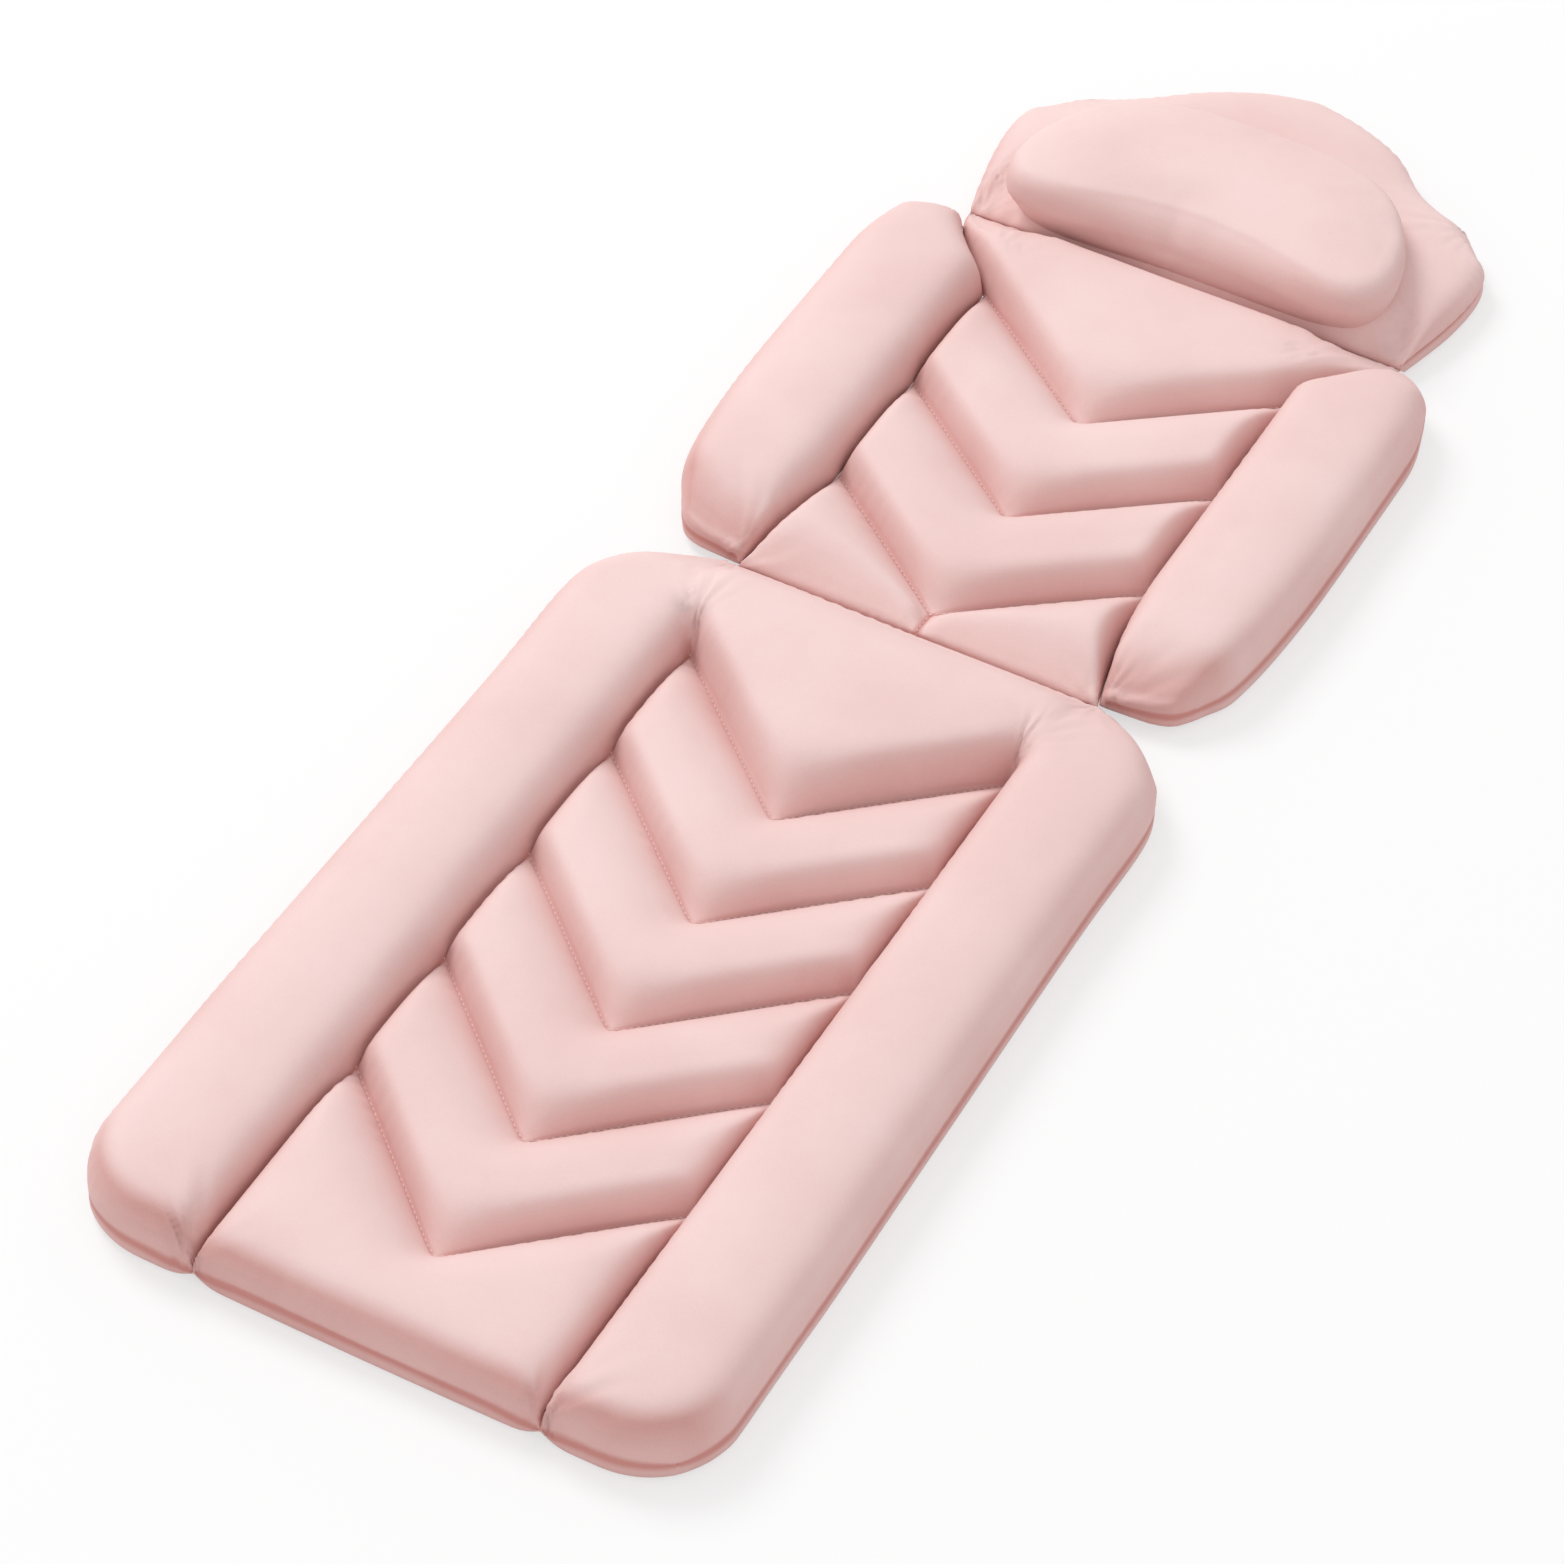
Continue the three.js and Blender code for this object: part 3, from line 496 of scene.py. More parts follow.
# each row joins a node's output to a node's input
def wire(tree, *rows):
    for giver, output, taker, entry in rows:
        tree.links.new(giver.outputs[output], taker.inputs[entry])


def addSocket(tree, name, kind, value=None, way="INPUT"):
    socket = tree.interface.new_socket(name=name, in_out=way, socket_type="NodeSocket" + kind)
    if value is not None:
        socket.default_value = value


# a smooth brushed knit: a faint mottle, a fine nap and soft wrinkles; the painted shade mask and the mottle
# both mix the pale colour towards the deep one
def makeKnitGroup():
    tree = bpy.data.node_groups.new("brushedKnit", "ShaderNodeTree")
    for name, kind, value in (
            ("Coordinates", "Vector", None), ("Pale", "Color", linear(240, 205, 202)),
            ("Deep", "Color", linear(225, 180, 175)), ("Seam", "Float", 0.0), ("Mottle Scale", "Float", 9.0),
            ("Nap Scale", "Float", 900.0), ("Nap Depth", "Float", 0.2), ("Wrinkle Scale", "Float", 60.0)):
        addSocket(tree, name, kind, value)
    for name, kind in (("Color", "Color"), ("Roughness", "Float"), ("Height", "Float")):
        addSocket(tree, name, kind, way="OUTPUT")
    given = addNode(tree, "NodeGroupInput", (-900, 0))
    result = addNode(tree, "NodeGroupOutput", (700, 0))
    mottle = addNode(tree, "ShaderNodeTexNoise", (-600, 300), {"Detail": 4.0})
    nap = addNode(tree, "ShaderNodeTexNoise", (-600, 0), {"Detail": 3.0})
    wrinkle = addNode(tree, "ShaderNodeTexNoise", (-600, -300), {"Detail": 2.0, "Distortion": 0.6})
    for texture, scale in ((mottle, "Mottle Scale"), (nap, "Nap Scale"), (wrinkle, "Wrinkle Scale")):
        wire(tree, (given, "Coordinates", texture, "Vector"), (given, scale, texture, "Scale"))
    spread = addNode(
        tree, "ShaderNodeMapRange", (-380, 300), {"From Min": 0.35, "From Max": 0.65, "To Max": 0.15})
    fine = addNode(tree, "ShaderNodeMath", (-380, 60), {1: 0.14}, operation="MULTIPLY_ADD")
    # painted shade from the seam mask plus the random mottle and nap set how far the colour goes towards the
    # deep one
    shadeAndMottle = addNode(tree, "ShaderNodeMath", (-160, 160), {1: 1.0}, operation="MULTIPLY_ADD", use_clamp=True)
    tint = addNode(tree, "ShaderNodeMix", (100, 200), data_type="RGBA")
    rough = addNode(tree, "ShaderNodeMapRange", (100, -60), {"To Min": 0.72, "To Max": 0.92})
    deep = addNode(tree, "ShaderNodeMath", (-160, -120), operation="MULTIPLY")
    height = addNode(tree, "ShaderNodeMath", (100, -260), operation="ADD")
    wire(
        tree, (mottle, "Fac", spread, "Value"), (nap, "Fac", fine, 0), (spread, "Result", fine, 2),
        (given, "Seam", shadeAndMottle, 0), (fine, 0, shadeAndMottle, 2), (shadeAndMottle, 0, tint, "Factor"), (given, "Pale", tint, "A"),
        (given, "Deep", tint, "B"), (tint, "Result", result, "Color"), (nap, "Fac", rough, "Value"),
        (rough, "Result", result, "Roughness"), (nap, "Fac", deep, 0), (given, "Nap Depth", deep, 1),
        (deep, 0, height, 0), (wrinkle, "Fac", height, 1), (height, 0, result, "Height"))
    return tree


def newMaterial(name, inputs):
    material = bpy.data.materials.new(name)
    material.use_nodes = True
    shader = material.node_tree.nodes["Principled BSDF"]
    setInputs(shader, inputs)
    return material, material.node_tree, shader


def makeFabric(name, pale, deep, sheen, bump, napScale=900.0, napDepth=0.2, wrinkleScale=60.0):
    material, tree, shader = newMaterial(
        name, {"Sheen Weight": sheen, "Sheen Roughness": 0.45, "Specular IOR Level": 0.25})
    place = addNode(tree, "ShaderNodeTexCoord", (-900, 0))
    # the seam attribute carries the painted shade of seam grooves and shaded walls
    seam = addNode(tree, "ShaderNodeAttribute", (-900, -260), attribute_name="seam")
    knit = addNode(tree, "ShaderNodeGroup", (-560, 0), node_tree=knitGroup)
    setInputs(knit, {
        "Pale": pale, "Deep": deep, "Nap Scale": napScale, "Nap Depth": napDepth,
        "Wrinkle Scale": wrinkleScale})
    relief = addNode(tree, "ShaderNodeBump", (-280, -260), {"Strength": 1.0, "Distance": bump})
    wire(
        tree, (place, "Object", knit, "Coordinates"), (seam, "Fac", knit, "Seam"),
        (knit, "Color", shader, "Base Color"), (knit, "Roughness", shader, "Roughness"),
        (knit, "Height", relief, "Height"), (relief, "Normal", shader, "Normal"))
    return material


def makeVinyl(name, colour):
    material, tree, shader = newMaterial(name, {"Transmission Weight": 0.55, "IOR": 1.5})
    place = addNode(tree, "ShaderNodeTexCoord", (-900, 0))
    cloud = addNode(tree, "ShaderNodeTexNoise", (-680, 0), {"Scale": 120.0})
    dull = tuple(c * 0.9 for c in colour[:3]) + (1.0,)
    ramp = addNode(tree, "ShaderNodeMix", (-300, 100), {"A": colour, "B": dull}, data_type="RGBA")
    gloss = addNode(tree, "ShaderNodeMapRange", (-300, -160), {"To Min": 0.12, "To Max": 0.3})
    wire(
        tree, (place, "Object", cloud, "Vector"), (cloud, "Fac", ramp, "Factor"),
        (cloud, "Fac", gloss, "Value"), (ramp, "Result", shader, "Base Color"),
        (gloss, "Result", shader, "Roughness"))
    return material


knitGroup = makeKnitGroup()
# the deep colour is the mottle's darker tone and also the redder colour of the painted shade
pinkKnit = makeFabric("pinkKnit", linear(243, 216, 213), linear(204, 140, 133), 0.06, 0.0004)
stitchThread = makeFabric(
    "stitchThread", linear(245, 216, 212), linear(230, 188, 182), 0.1, 0.0002, 2400.0, 0.6, 400.0)
cupVinyl = makeVinyl("cupVinyl", linear(226, 232, 234))
print("materials made")


# lower section: five chevron seams between two bolsters that join above the top one
lower = dict(
    footTip=0.076, drop=0.100, pitch=0.0975, chevrons=5, topCell=0.085,
    laneHalf=0.112, footBolster=0.096, topBolster=0.091, waistHalf=0.127, footCorner=0.060,
    shoulderOut=0.036, shoulderDown=0.024, rimCrown=0.0365, footCrown=0.031, laneCrown=0.0258,
    laneReach=0.018, laneSlope=0.045, bolsterReach=0.028, outlineReach=0.032, laneColumns=22)


# rows of the right half of a quilted lane, and the row number of each seam
def chevronRows(ends, drops, halfAt, shares):
    rows, seamRows = [], [0]
    for k in range(len(ends) - 1):
        along = crowdedShares(ends[k + 1] - ends[k])
        for share in along[0 if k == 0 else 1:]:
            y = ends[k] + (ends[k + 1] - ends[k]) * share
            fall = drops[k] + (drops[k + 1] - drops[k]) * share
            rows.append(np.stack([halfAt(y) * shares, y - fall * (1 - shares)], 1))
        seamRows.append(len(rows) - 1)
    return np.array(rows), seamRows


def laneSteps(count):
    return np.sin(np.linspace(0, 1, count + 1) * np.pi * 0.42) / math.sin(np.pi * 0.42)


def lowerOutline(s, across, along):
    footHalf = s["laneHalf"] + s["footBolster"]
    topHalf = s["laneHalf"] + s["topBolster"]
    r = s["footCorner"]
    turn = np.linspace(-np.pi / 2, -np.pi / 4, 12)
    arc = np.stack([footHalf - r + r * np.cos(turn), footY + r + r * np.sin(turn)], 1)
    low = atShares(np.vstack([[s["laneHalf"], footY], arc]), across)
    topEnd = (topHalf - s["topBolster"] / 9, waistY - s["topCell"] * 0.6)
    shoulder = (s["waistHalf"] + s["shoulderOut"], waistY - s["shoulderDown"])
    high = smoothLine([(s["waistHalf"], waistY), shoulder, topEnd], across)
    rest = np.linspace(-np.pi / 4, 0, 5)[:, None]
    rest = np.array([footHalf - r, footY + r]) + r * np.hstack([np.cos(rest), np.sin(rest)])
    outer = smoothLine(
        [*rest, (footHalf, footY + 2 * r), (footHalf, footY + 3 * r),
         ((footHalf + topHalf) / 2, (footY + waistY) / 2), (topHalf, waistY - 2 * s["topCell"]),
         (topHalf, waistY - s["topCell"]), topEnd], along)
    return low, high, outer


def buildLower(s=lower):
    firstEnd = footY + s["footTip"] + s["drop"]
    ends = [footY] + [firstEnd + k * s["pitch"] for k in range(s["chevrons"])] + [waistY]
    drops = [0] + [s["drop"]] * s["chevrons"] + [0]
    topSeamY = ends[-2]

    def halfAt(y):
        return s["laneHalf"] + (s["waistHalf"] - s["laneHalf"]) * max(0, (y - topSeamY) / (waistY - topSeamY))

    lane, seamRows = chevronRows(ends, drops, halfAt, laneSteps(s["laneColumns"]))
    inner = lane[:, -1]
    along = (inner[:, 1] - footY) / (waistY - footY)
    across = crowdedShares(s["footBolster"], 0.6)
    low, high, outer = lowerOutline(s, across, along)
    net = mirrored(np.concatenate([lane, coonsNet(low, high, inner, outer, across, along)[:, 1:]], 1))
    shape = net.shape[:2]
    middle = (shape[1] - 1) // 2
    left, right = middle - s["laneColumns"], middle + s["laneColumns"]
    topRow = seamRows[-2]
    quilted = [
        dict(line=net[row, left:right + 1], reach=s["laneReach"], footReach=s["laneSlope"],
             shape=quiltProfile) for row in seamRows[1:-1]]
    bolsters = [dict(line=net[:topRow + 1, c], reach=s["bolsterReach"], shape=wallProfile, pucker=0.45)
                for c in (left, right)]
    rim = np.vstack([net[::-1, 0], net[0], net[:, -1]])
    openSeams = [dict(line=line, reach=s["outlineReach"], shape=wallProfile, pucker=0.5, rim=True)
             for line in (rim, net[-1, :left + 1], net[-1, right:])]
    waist = [dict(line=net[-1, left:right + 1], reach=s["laneReach"] * 1.6, shape=quiltProfile)]
    flat = net.reshape(-1, 2)
    rise = stuffedRise(flat, quilted + bolsters + openSeams + waist)
    crown = np.full(shape, s["rimCrown"])
    crown[:topRow, left + 1:right] = s["laneCrown"]
    crown[:seamRows[1], left + 1:right] = s["footCrown"]
    top = seamTop + softLower(crown.ravel() * rise, foldRelief(flat, [(waistY, 43, hingeX, 0.016, 35)]))
    bottom = undersideOf(flat, rim, quilted + bolsters, [waistY], cupPlaces["lower_section"])
    pinned = np.zeros(shape, bool)
    for row in seamRows[1:-1]:
        pinned[row, left:right + 1] = True
    pinned[:topRow + 1, [left, right]] = True
    free = np.ones(shape, bool)
    free[-1, left:right + 1] = False
    feet = [tuple(net[0, c]) for c in (left, right)]
    obj, held, index = padObject("lower_pad", net, top, bottom, pinned, free, feet)
    stuffPad(obj, held)
    x, tipX = s["laneHalf"], s["waistHalf"]
    gathers = [
        *gatherPair(x, topSeamY, 112, 42, 0.034, (0.0026, 0.0026), 5),
        *gatherPair(x, footY, 128, 42, 0.034, (0.0042, 0.0036), 4),
        *gatherPair(x, footY, 60, 32, 0.024, (0.0022, 0.0022), 3),
        *gatherPair(tipX, waistY, 236, 50, 0.030, (0.0020, 0.0020), 5)]
    placed = finishPad(obj, "lower_section", (
        "lower_top_cover", "lower_backing", "lower_bolster_fill", "foot_cell_fill", "lower_chevron_fill_1",
        "lower_chevron_fill_2", "lower_chevron_fill_3", "lower_chevron_fill_4", "waist_seam"),
        quilted + bolsters + openSeams + waist, gathers,
        folds=[(waistY, -1, plan["foldTop"], plan["foldUnder"])])
    for row in seamRows[1:-1]:
        stitchLines["lower_section"].append(placed[index[row, left:right + 1]])


# back section: three chevron seams and a short one from the lowest tip to the waist
back = dict(
    stub=0.020, drop=0.085, pitch=0.101, chevrons=3, shoulder=0.070, waistHalf=0.127, neckHalf=0.158,
    laneCrown=0.0268, laneReach=0.018, laneSlope=0.045, laneColumns=22,
    neckDip=0.18, dipFromNeck=0.018, dipSpan=0.020)


# the wing seam runs straight beside the back and flares out at the waist and the neck
def wingSeamX(y, s=back):
    firstY = waistY + s["stub"] + s["drop"]
    lastY = firstY + (s["chevrons"] - 1) * s["pitch"]
    if y < firstY:
        return hingeX + (s["waistHalf"] - hingeX) * ((firstY - y) / (firstY - waistY)) ** 2
    if y > lastY:
        return hingeX + (s["neckHalf"] - hingeX) * math.sin(np.pi / 2 * min(1, (y - lastY) / s["shoulder"]))
    return hingeX


def buildBack(s=back):
    firstY = waistY + s["stub"] + s["drop"]
    ends = [waistY] + [firstY + k * s["pitch"] for k in range(s["chevrons"])] + [neckY]
    drops = [0] + [s["drop"]] * s["chevrons"] + [0]
    half, seamRows = chevronRows(ends, drops, wingSeamX, laneSteps(s["laneColumns"]))
    net = mirrored(half)
    shape = net.shape[:2]
    middle = s["laneColumns"]
    quilted = [dict(line=net[row], reach=s["laneReach"], footReach=s["laneSlope"], shape=quiltProfile)
               for row in seamRows[1:-1]]
    quilted.append(dict(line=net[:seamRows[1] + 1, middle], reach=s["laneReach"] * 0.8, shape=quiltProfile))
    sides = [dict(line=net[:, c], reach=s["laneReach"], shape=quiltProfile, pucker=0.6) for c in (0, -1)]
    folds = [dict(line=net[0], reach=s["laneReach"] * 1.4, shape=quiltProfile),
             dict(line=net[-1], reach=s["laneReach"] * 0.8, shape=wallProfile)]
    flat = net.reshape(-1, 2)
    rise = stuffedRise(flat, quilted + sides + folds)
    relief = foldRelief(flat, [(waistY, 42, hingeX, 0.016, 38), (neckY, 55, 0.090, 0.060, 22)])
    dip = 1 - s["neckDip"] * np.exp(-((neckY - s["dipFromNeck"] - flat[:, 1]) / s["dipSpan"]) ** 2)
    top = seamTop + softLower(s["laneCrown"] * rise * dip, relief, 0.008)
    rim = np.vstack([net[0], net[-1][::-1]])
    bottom = undersideOf(flat, rim, quilted, [waistY, neckY], cupPlaces["back_section"])
    pinned = np.zeros(shape, bool)
    pinned[seamRows] = True
    pinned[:seamRows[1] + 1, middle] = True
    obj, held, index = padObject("back_pad", net, top, bottom, pinned, np.zeros(shape, bool), [])
    stuffPad(obj, held)
    lastY = ends[-2]
    gathers = [
        *gatherPair(hingeX, lastY + 0.018, 60, 50, 0.032, (0.0034, 0.0034), 4),
        *gatherPair(s["neckHalf"], neckY, 335, 55, 0.040, (0.0020, 0.0020), 5),
        *gatherPair(s["waistHalf"], waistY, 50, 55, 0.026, (0.0018, 0.0018), 5),
        (0.0, firstY - s["drop"], 270, 50, 0.016, 0.0010, 3)]
    placed = finishPad(obj, "back_section", (
        "back_top_cover", "back_backing", "shoulder_cell_fill", "back_chevron_fill_1",
        "back_chevron_fill_2", "waist_corner_fill_left", "waist_corner_fill_right", "left_wing_seam",
        "right_wing_seam", "neck_seam"),
        quilted + sides + folds, gathers,
        folds=[(waistY, 1, plan["foldTop"], plan["foldUnder"]),
               (neckY, -1, plan["foldTop"], plan["neckUnder"])])
    for row in seamRows[1:-1]:
        stitchLines["back_section"].append(placed[index[row]])
    stitchLines["back_section"].append(placed[index[:seamRows[1] + 1, middle]])


# wings: one bolster each, drawn in at the waist and at the neck
wing = dict(
    crown=0.0365, innerReach=0.028, outerReach=0.031, tip=0.023, waistGap=0.003, neckGap=0.014,
    cornerOut=0.040, cornerUp=0.006, bendFrom=0.148, bendTo=0.216)


def wingNet(s=wing):
    lowY, highY = waistY + s["waistGap"], neckY - s["neckGap"]
    width = wingOuterX - hingeX
    along = crowdedShares(highY - lowY, 0.45)
    across = crowdedShares(width, 0.6)
    inner = np.array([(wingSeamX(y), y) for y in lowY + (highY - lowY) * along])
    lowEnd = (wingOuterX - s["tip"], lowY + s["tip"])
    highEnd = (wingOuterX - s["tip"] / 2, highY - s["tip"])
    low = smoothLine([inner[0], (inner[0][0] + s["cornerOut"], lowY + s["cornerUp"]), lowEnd], across)
    midway = ((inner[-1][0] + highEnd[0]) / 2, highY - s["tip"] * 0.25)
    high = smoothLine([inner[-1], midway, highEnd], across)
    outer = smoothLine(
        [lowEnd, (wingOuterX - s["tip"] / 3, lowY + 2.5 * s["tip"]), (wingOuterX, lowY + 1.5 * width),
         (wingOuterX, highY - width), (wingOuterX - s["tip"] / 12, highY - 2.5 * s["tip"]), highEnd], along)
    return coonsNet(low, high, inner, outer, across, along)


# the span where the wing's cloth would bend, outside its flared seam ends; finishPad only bakes the wing in
# place and doesn't read it
def wingBend(name, s=wing):
    side = -1 if name.startswith("left") else 1
    return ("back_section", name, (side * s["bendFrom"], 0, seamZ), (side * s["bendTo"], 0, seamZ))


def buildWing(side, name, s=wing):
    net = wingNet()
    if side < 0:
        net = (net * np.array([-1.0, 1.0]))[:, ::-1]
    shape = net.shape[:2]
    hinge, outside = (0, -1) if side > 0 else (-1, 0)
    lowEdge = net[0] if side > 0 else net[0][::-1]
    highEdge = net[-1][::-1] if side > 0 else net[-1]
    rim = np.vstack([lowEdge, net[:, outside], highEdge])
    seams = [dict(line=net[:, hinge], reach=s["innerReach"], shape=wallProfile, pucker=0.6),
             dict(line=rim, reach=s["outerReach"], shape=wallProfile, pucker=0.5, rim=True)]
    flat = net.reshape(-1, 2)
    rise = stuffedRise(flat, seams)
    relief = foldRelief(flat, [(waistY, 60, hingeX, 0.016, 40), (neckY, 60, hingeX, 0.016, 40)])
    top = seamTop + softLower(s["crown"] * rise, relief)
    bottom = undersideOf(flat, rim, [], [waistY, neckY], cupPlaces[name])
    free = np.ones(shape, bool)
    free[:, hinge] = False
    free[:2, hinge + (1 if side > 0 else -1)] = False
    obj, held = padObject(name + "_pad", net, top, bottom, np.zeros(shape, bool), free, [])[:2]
    stuffPad(obj, held)
    gathers = [
        (side * back["waistHalf"], waistY + 0.002, 90 - side * 42, 48, 0.034, 0.0024, 5),
        (side * back["neckHalf"], neckY - s["neckGap"], 270 + side * 20, 45, 0.026, 0.0012, 4)]
    finishPad(obj, wingBend(name), (name + "_cover", name + "_backing", name + "_fill"), seams, gathers,
              folds=[(waistY, 1, plan["foldTop"], plan["foldUnder"])])


# head section: a thin shield under the pillow
head = dict(
    crown=0.0180, reach=0.026, frontReach=0.020, flare=0.017, columns=34, foldTop=3.0,
    notchX=0.147, notchY=0.136,
    leftShares=((0, 0.96), (0.2, 0.918), (0.42, 0.828), (0.58, 0.736), (0.8, 0.615), (0.95, 0.50)),
    rightShares=((0, 0.96), (0.2, 0.920), (0.42, 0.84), (0.58, 0.715), (0.8, 0.630), (0.95, 0.515)))


def headHalf(s, shares):
    half = back["neckHalf"] + s["flare"]
    rise = headTopY - neckY
    corner = (half * shares[-1][0], neckY + rise * shares[-1][1])
    across = np.sin(np.linspace(0, np.pi / 2, s["columns"]))
    along = crowdedShares(rise * 0.9, 0.5)
    t = along[:, None]
    bend = np.array([half + s["flare"] / 2, neckY + rise * 0.42])
    foot = np.array([back["neckHalf"], neckY])
    side = (1 - t) ** 2 * foot + 2 * t * (1 - t) * bend + t ** 2 * np.array(corner)
    top = smoothLine([(half * x, neckY + rise * y) for x, y in shares], across)
    front = np.stack([back["neckHalf"] * across, np.full(len(across), neckY)], 1)
    spine = np.stack([np.zeros(len(along)), neckY + rise * shares[0][1] * along], 1)
    return coonsNet(front, top, spine, side, across, along)


def buildHead(s=head):
    left = mirrored(headHalf(s, s["leftShares"]))[:, :s["columns"] - 1]
    net = np.concatenate([left, headHalf(s, s["rightShares"])], 1)
    shape = net.shape[:2]
    rim = np.vstack([net[:, 0], net[-1], net[::-1, -1]])
    seams = [dict(line=rim, reach=s["reach"], shape=wallProfile, rim=True, pucker=0.8),
             dict(line=net[0], reach=s["frontReach"], shape=wallProfile)]
    flat = net.reshape(-1, 2)
    relief = foldRelief(flat, [(neckY, 62, 0.100, 0.045, 24)])
    height = seamTop + softLower(s["crown"] * stuffedRise(flat, seams), relief, 0.006)
    bottom = undersideOf(flat, rim, [], [neckY], cupPlaces["head_section"])
    free = np.ones(shape, bool)
    free[0] = False
    obj, held = padObject("head_pad", net, height, bottom, np.zeros(shape, bool), free, [])[:2]
    stuffPad(obj, held, cap=0.004)
    gathers = [
        *gatherPair(back["neckHalf"], neckY + 0.030, 10, 40, 0.030, (0.0022, 0.0014), 4),
        (-s["notchX"], neckY + s["notchY"], 320, 40, 0.030, 0.0016, 4),
        (s["notchX"], neckY + s["notchY"], 220, 40, 0.034, 0.0026, 4),
        *gatherPair(0.150, neckY, 80, 40, 0.030, (0.0014, 0.0014), 4)]
    finishPad(obj, "head_section", ("head_top_cover", "head_backing", "head_fill"), seams, gathers,
              folds=[(neckY, 1, s["foldTop"], plan["neckUnder"])])


# pillow: a bean with a hollow front, sewn on along its base, which hangs down to the neck seam in front
pillow = dict(
    half=0.137, depth=0.138, height=0.036, overhang=0.009, baseRise=0.0190, belly=0.29, hollow=0.021,
    baseInset=0.007, lean=0.005, skirt=0.016, skirtFrom=0.050, skirtSpan=0.045, skirtBack=0.55,
    creaseX=-0.014, creaseWidth=0.007, creaseDepth=0.0014, creaseFrom=0.040, creaseSpan=0.030,
    bellyHollow=0.65, roll=0.014, sides=112, wallRings=9, domeRings=20, outline=(
        (0, 0), (0.3, 0), (0.55, 0), (0.76, 0.01), (0.91, 0.07), (0.99, 0.21), (0.98, 0.4), (0.91, 0.6),
        (0.78, 0.79), (0.6, 0.91), (0.31, 0.98), (0, 1)))


def pillowRings(s):
    baseZ = seamTop + s["baseRise"]
    mid = s["sides"] // 2
    halfLine = smoothLine([(x, 2 * y - 1) for x, y in s["outline"]], np.linspace(0, 1, mid + 1))
    line = np.vstack([halfLine, halfLine[-2:0:-1] * np.array([-1.0, 1.0])])
    bump = np.maximum(0, -line[:, 1]) * np.cos(np.pi / 2 * line[:, 0]) ** 2
    centreY = neckY - s["overhang"] + s["depth"] / 2
    bellyZ = s["belly"] * s["height"]
    rings = []
    for k in range(s["wallRings"] + s["domeRings"]):
        if k < s["wallRings"]:
            t = k / s["wallRings"]
            inset = s["baseInset"] * (1 - t)
            z = bellyZ * t
            hollow = s["bellyHollow"] * t
        else:
            t = (k - s["wallRings"]) / s["domeRings"]
            share = 0.96 * t ** 1.7
            inset = s["depth"] / 2 * share
            roll = math.sqrt(1 - (1 - min(1, inset / s["roll"])) ** 2.6)
            z = bellyZ + (s["height"] - bellyZ) * (0.84 * roll + 0.16 * (1 - (1 - share) ** 2))
            hollow = s["bellyHollow"] + (1 - s["bellyHollow"]) * min(1, 4 * t) - share
        y = centreY + (s["depth"] / 2 - inset) * line[:, 1] + s["hollow"] * max(0, hollow) * bump
        left = np.clip(-line[:, 0], 0, 1)
        x = (s["half"] - inset) * line[:, 0] * (1 + 0.03 * left)
        front = np.clip((neckY + s["skirtFrom"] - y) / s["skirtSpan"], 0, 1)
        hang = s["skirt"] * front * max(0, 1 - k / s["wallRings"])
        rings.append(np.stack([x, y - s["lean"] * left ** 1.5 + s["skirtBack"] * hang, baseZ + z - hang], 1))
    return rings, centreY, baseZ


def buildPillow(s=pillow):
    rings, centreY, baseZ = pillowRings(s)
    count = s["sides"]
    verts = np.vstack(rings + [[[0, centreY, baseZ], [0, centreY, baseZ + s["height"]]]])
    low, highest = len(verts) - 2, len(verts) - 1
    faces = []
    for i in range(count):
        j = (i + 1) % count
        faces.append((low, j, i))
        for k in range(len(rings) - 1):
            faces.append((k * count + i, k * count + j, (k + 1) * count + j, (k + 1) * count + i))
        faces.append((highest, (len(rings) - 1) * count + i, (len(rings) - 1) * count + j))
    mesh = bpy.data.meshes.new("pillow")
    mesh.from_pydata(verts.tolist(), [], faces)
    setMask(mesh, "upper", np.clip((verts[:, 2] - baseZ) / 0.004, 0, 1))
    # the base ring's rim mask becomes a thin painted shade line where the pillow meets the head pad
    setMask(mesh, "rim", (np.arange(len(verts)) < count).astype(float))
    obj = newObject("pillow_pad", mesh)
    held = np.zeros(len(verts), bool)
    held[:count] = True
    held[low] = True
    creaseSeams(mesh, held)
    stuffPad(obj, held, cap=0.003)

    # a slight crease down the middle of the front wall
    def frontCrease(places):
        front = np.clip((neckY + s["creaseFrom"] - places[:, 1]) / s["creaseSpan"], 0, 1)
        return -s["creaseDepth"] * np.exp(-((places[:, 0] - s["creaseX"]) / s["creaseWidth"]) ** 2) * front

    finishPad(obj, "head_section", ("pillow_cover", "pillow_fill"), press=frontCrease)


buildLower()
buildBack()
buildWing(-1, "left_wing")
buildWing(1, "right_wing")
buildHead()
buildPillow()
print("pads made")


# stitches: short stretches of thread along each quilting line
stitch = dict(pitch=0.0042, length=0.0027, thickness=0.0007, lift=0.0005)


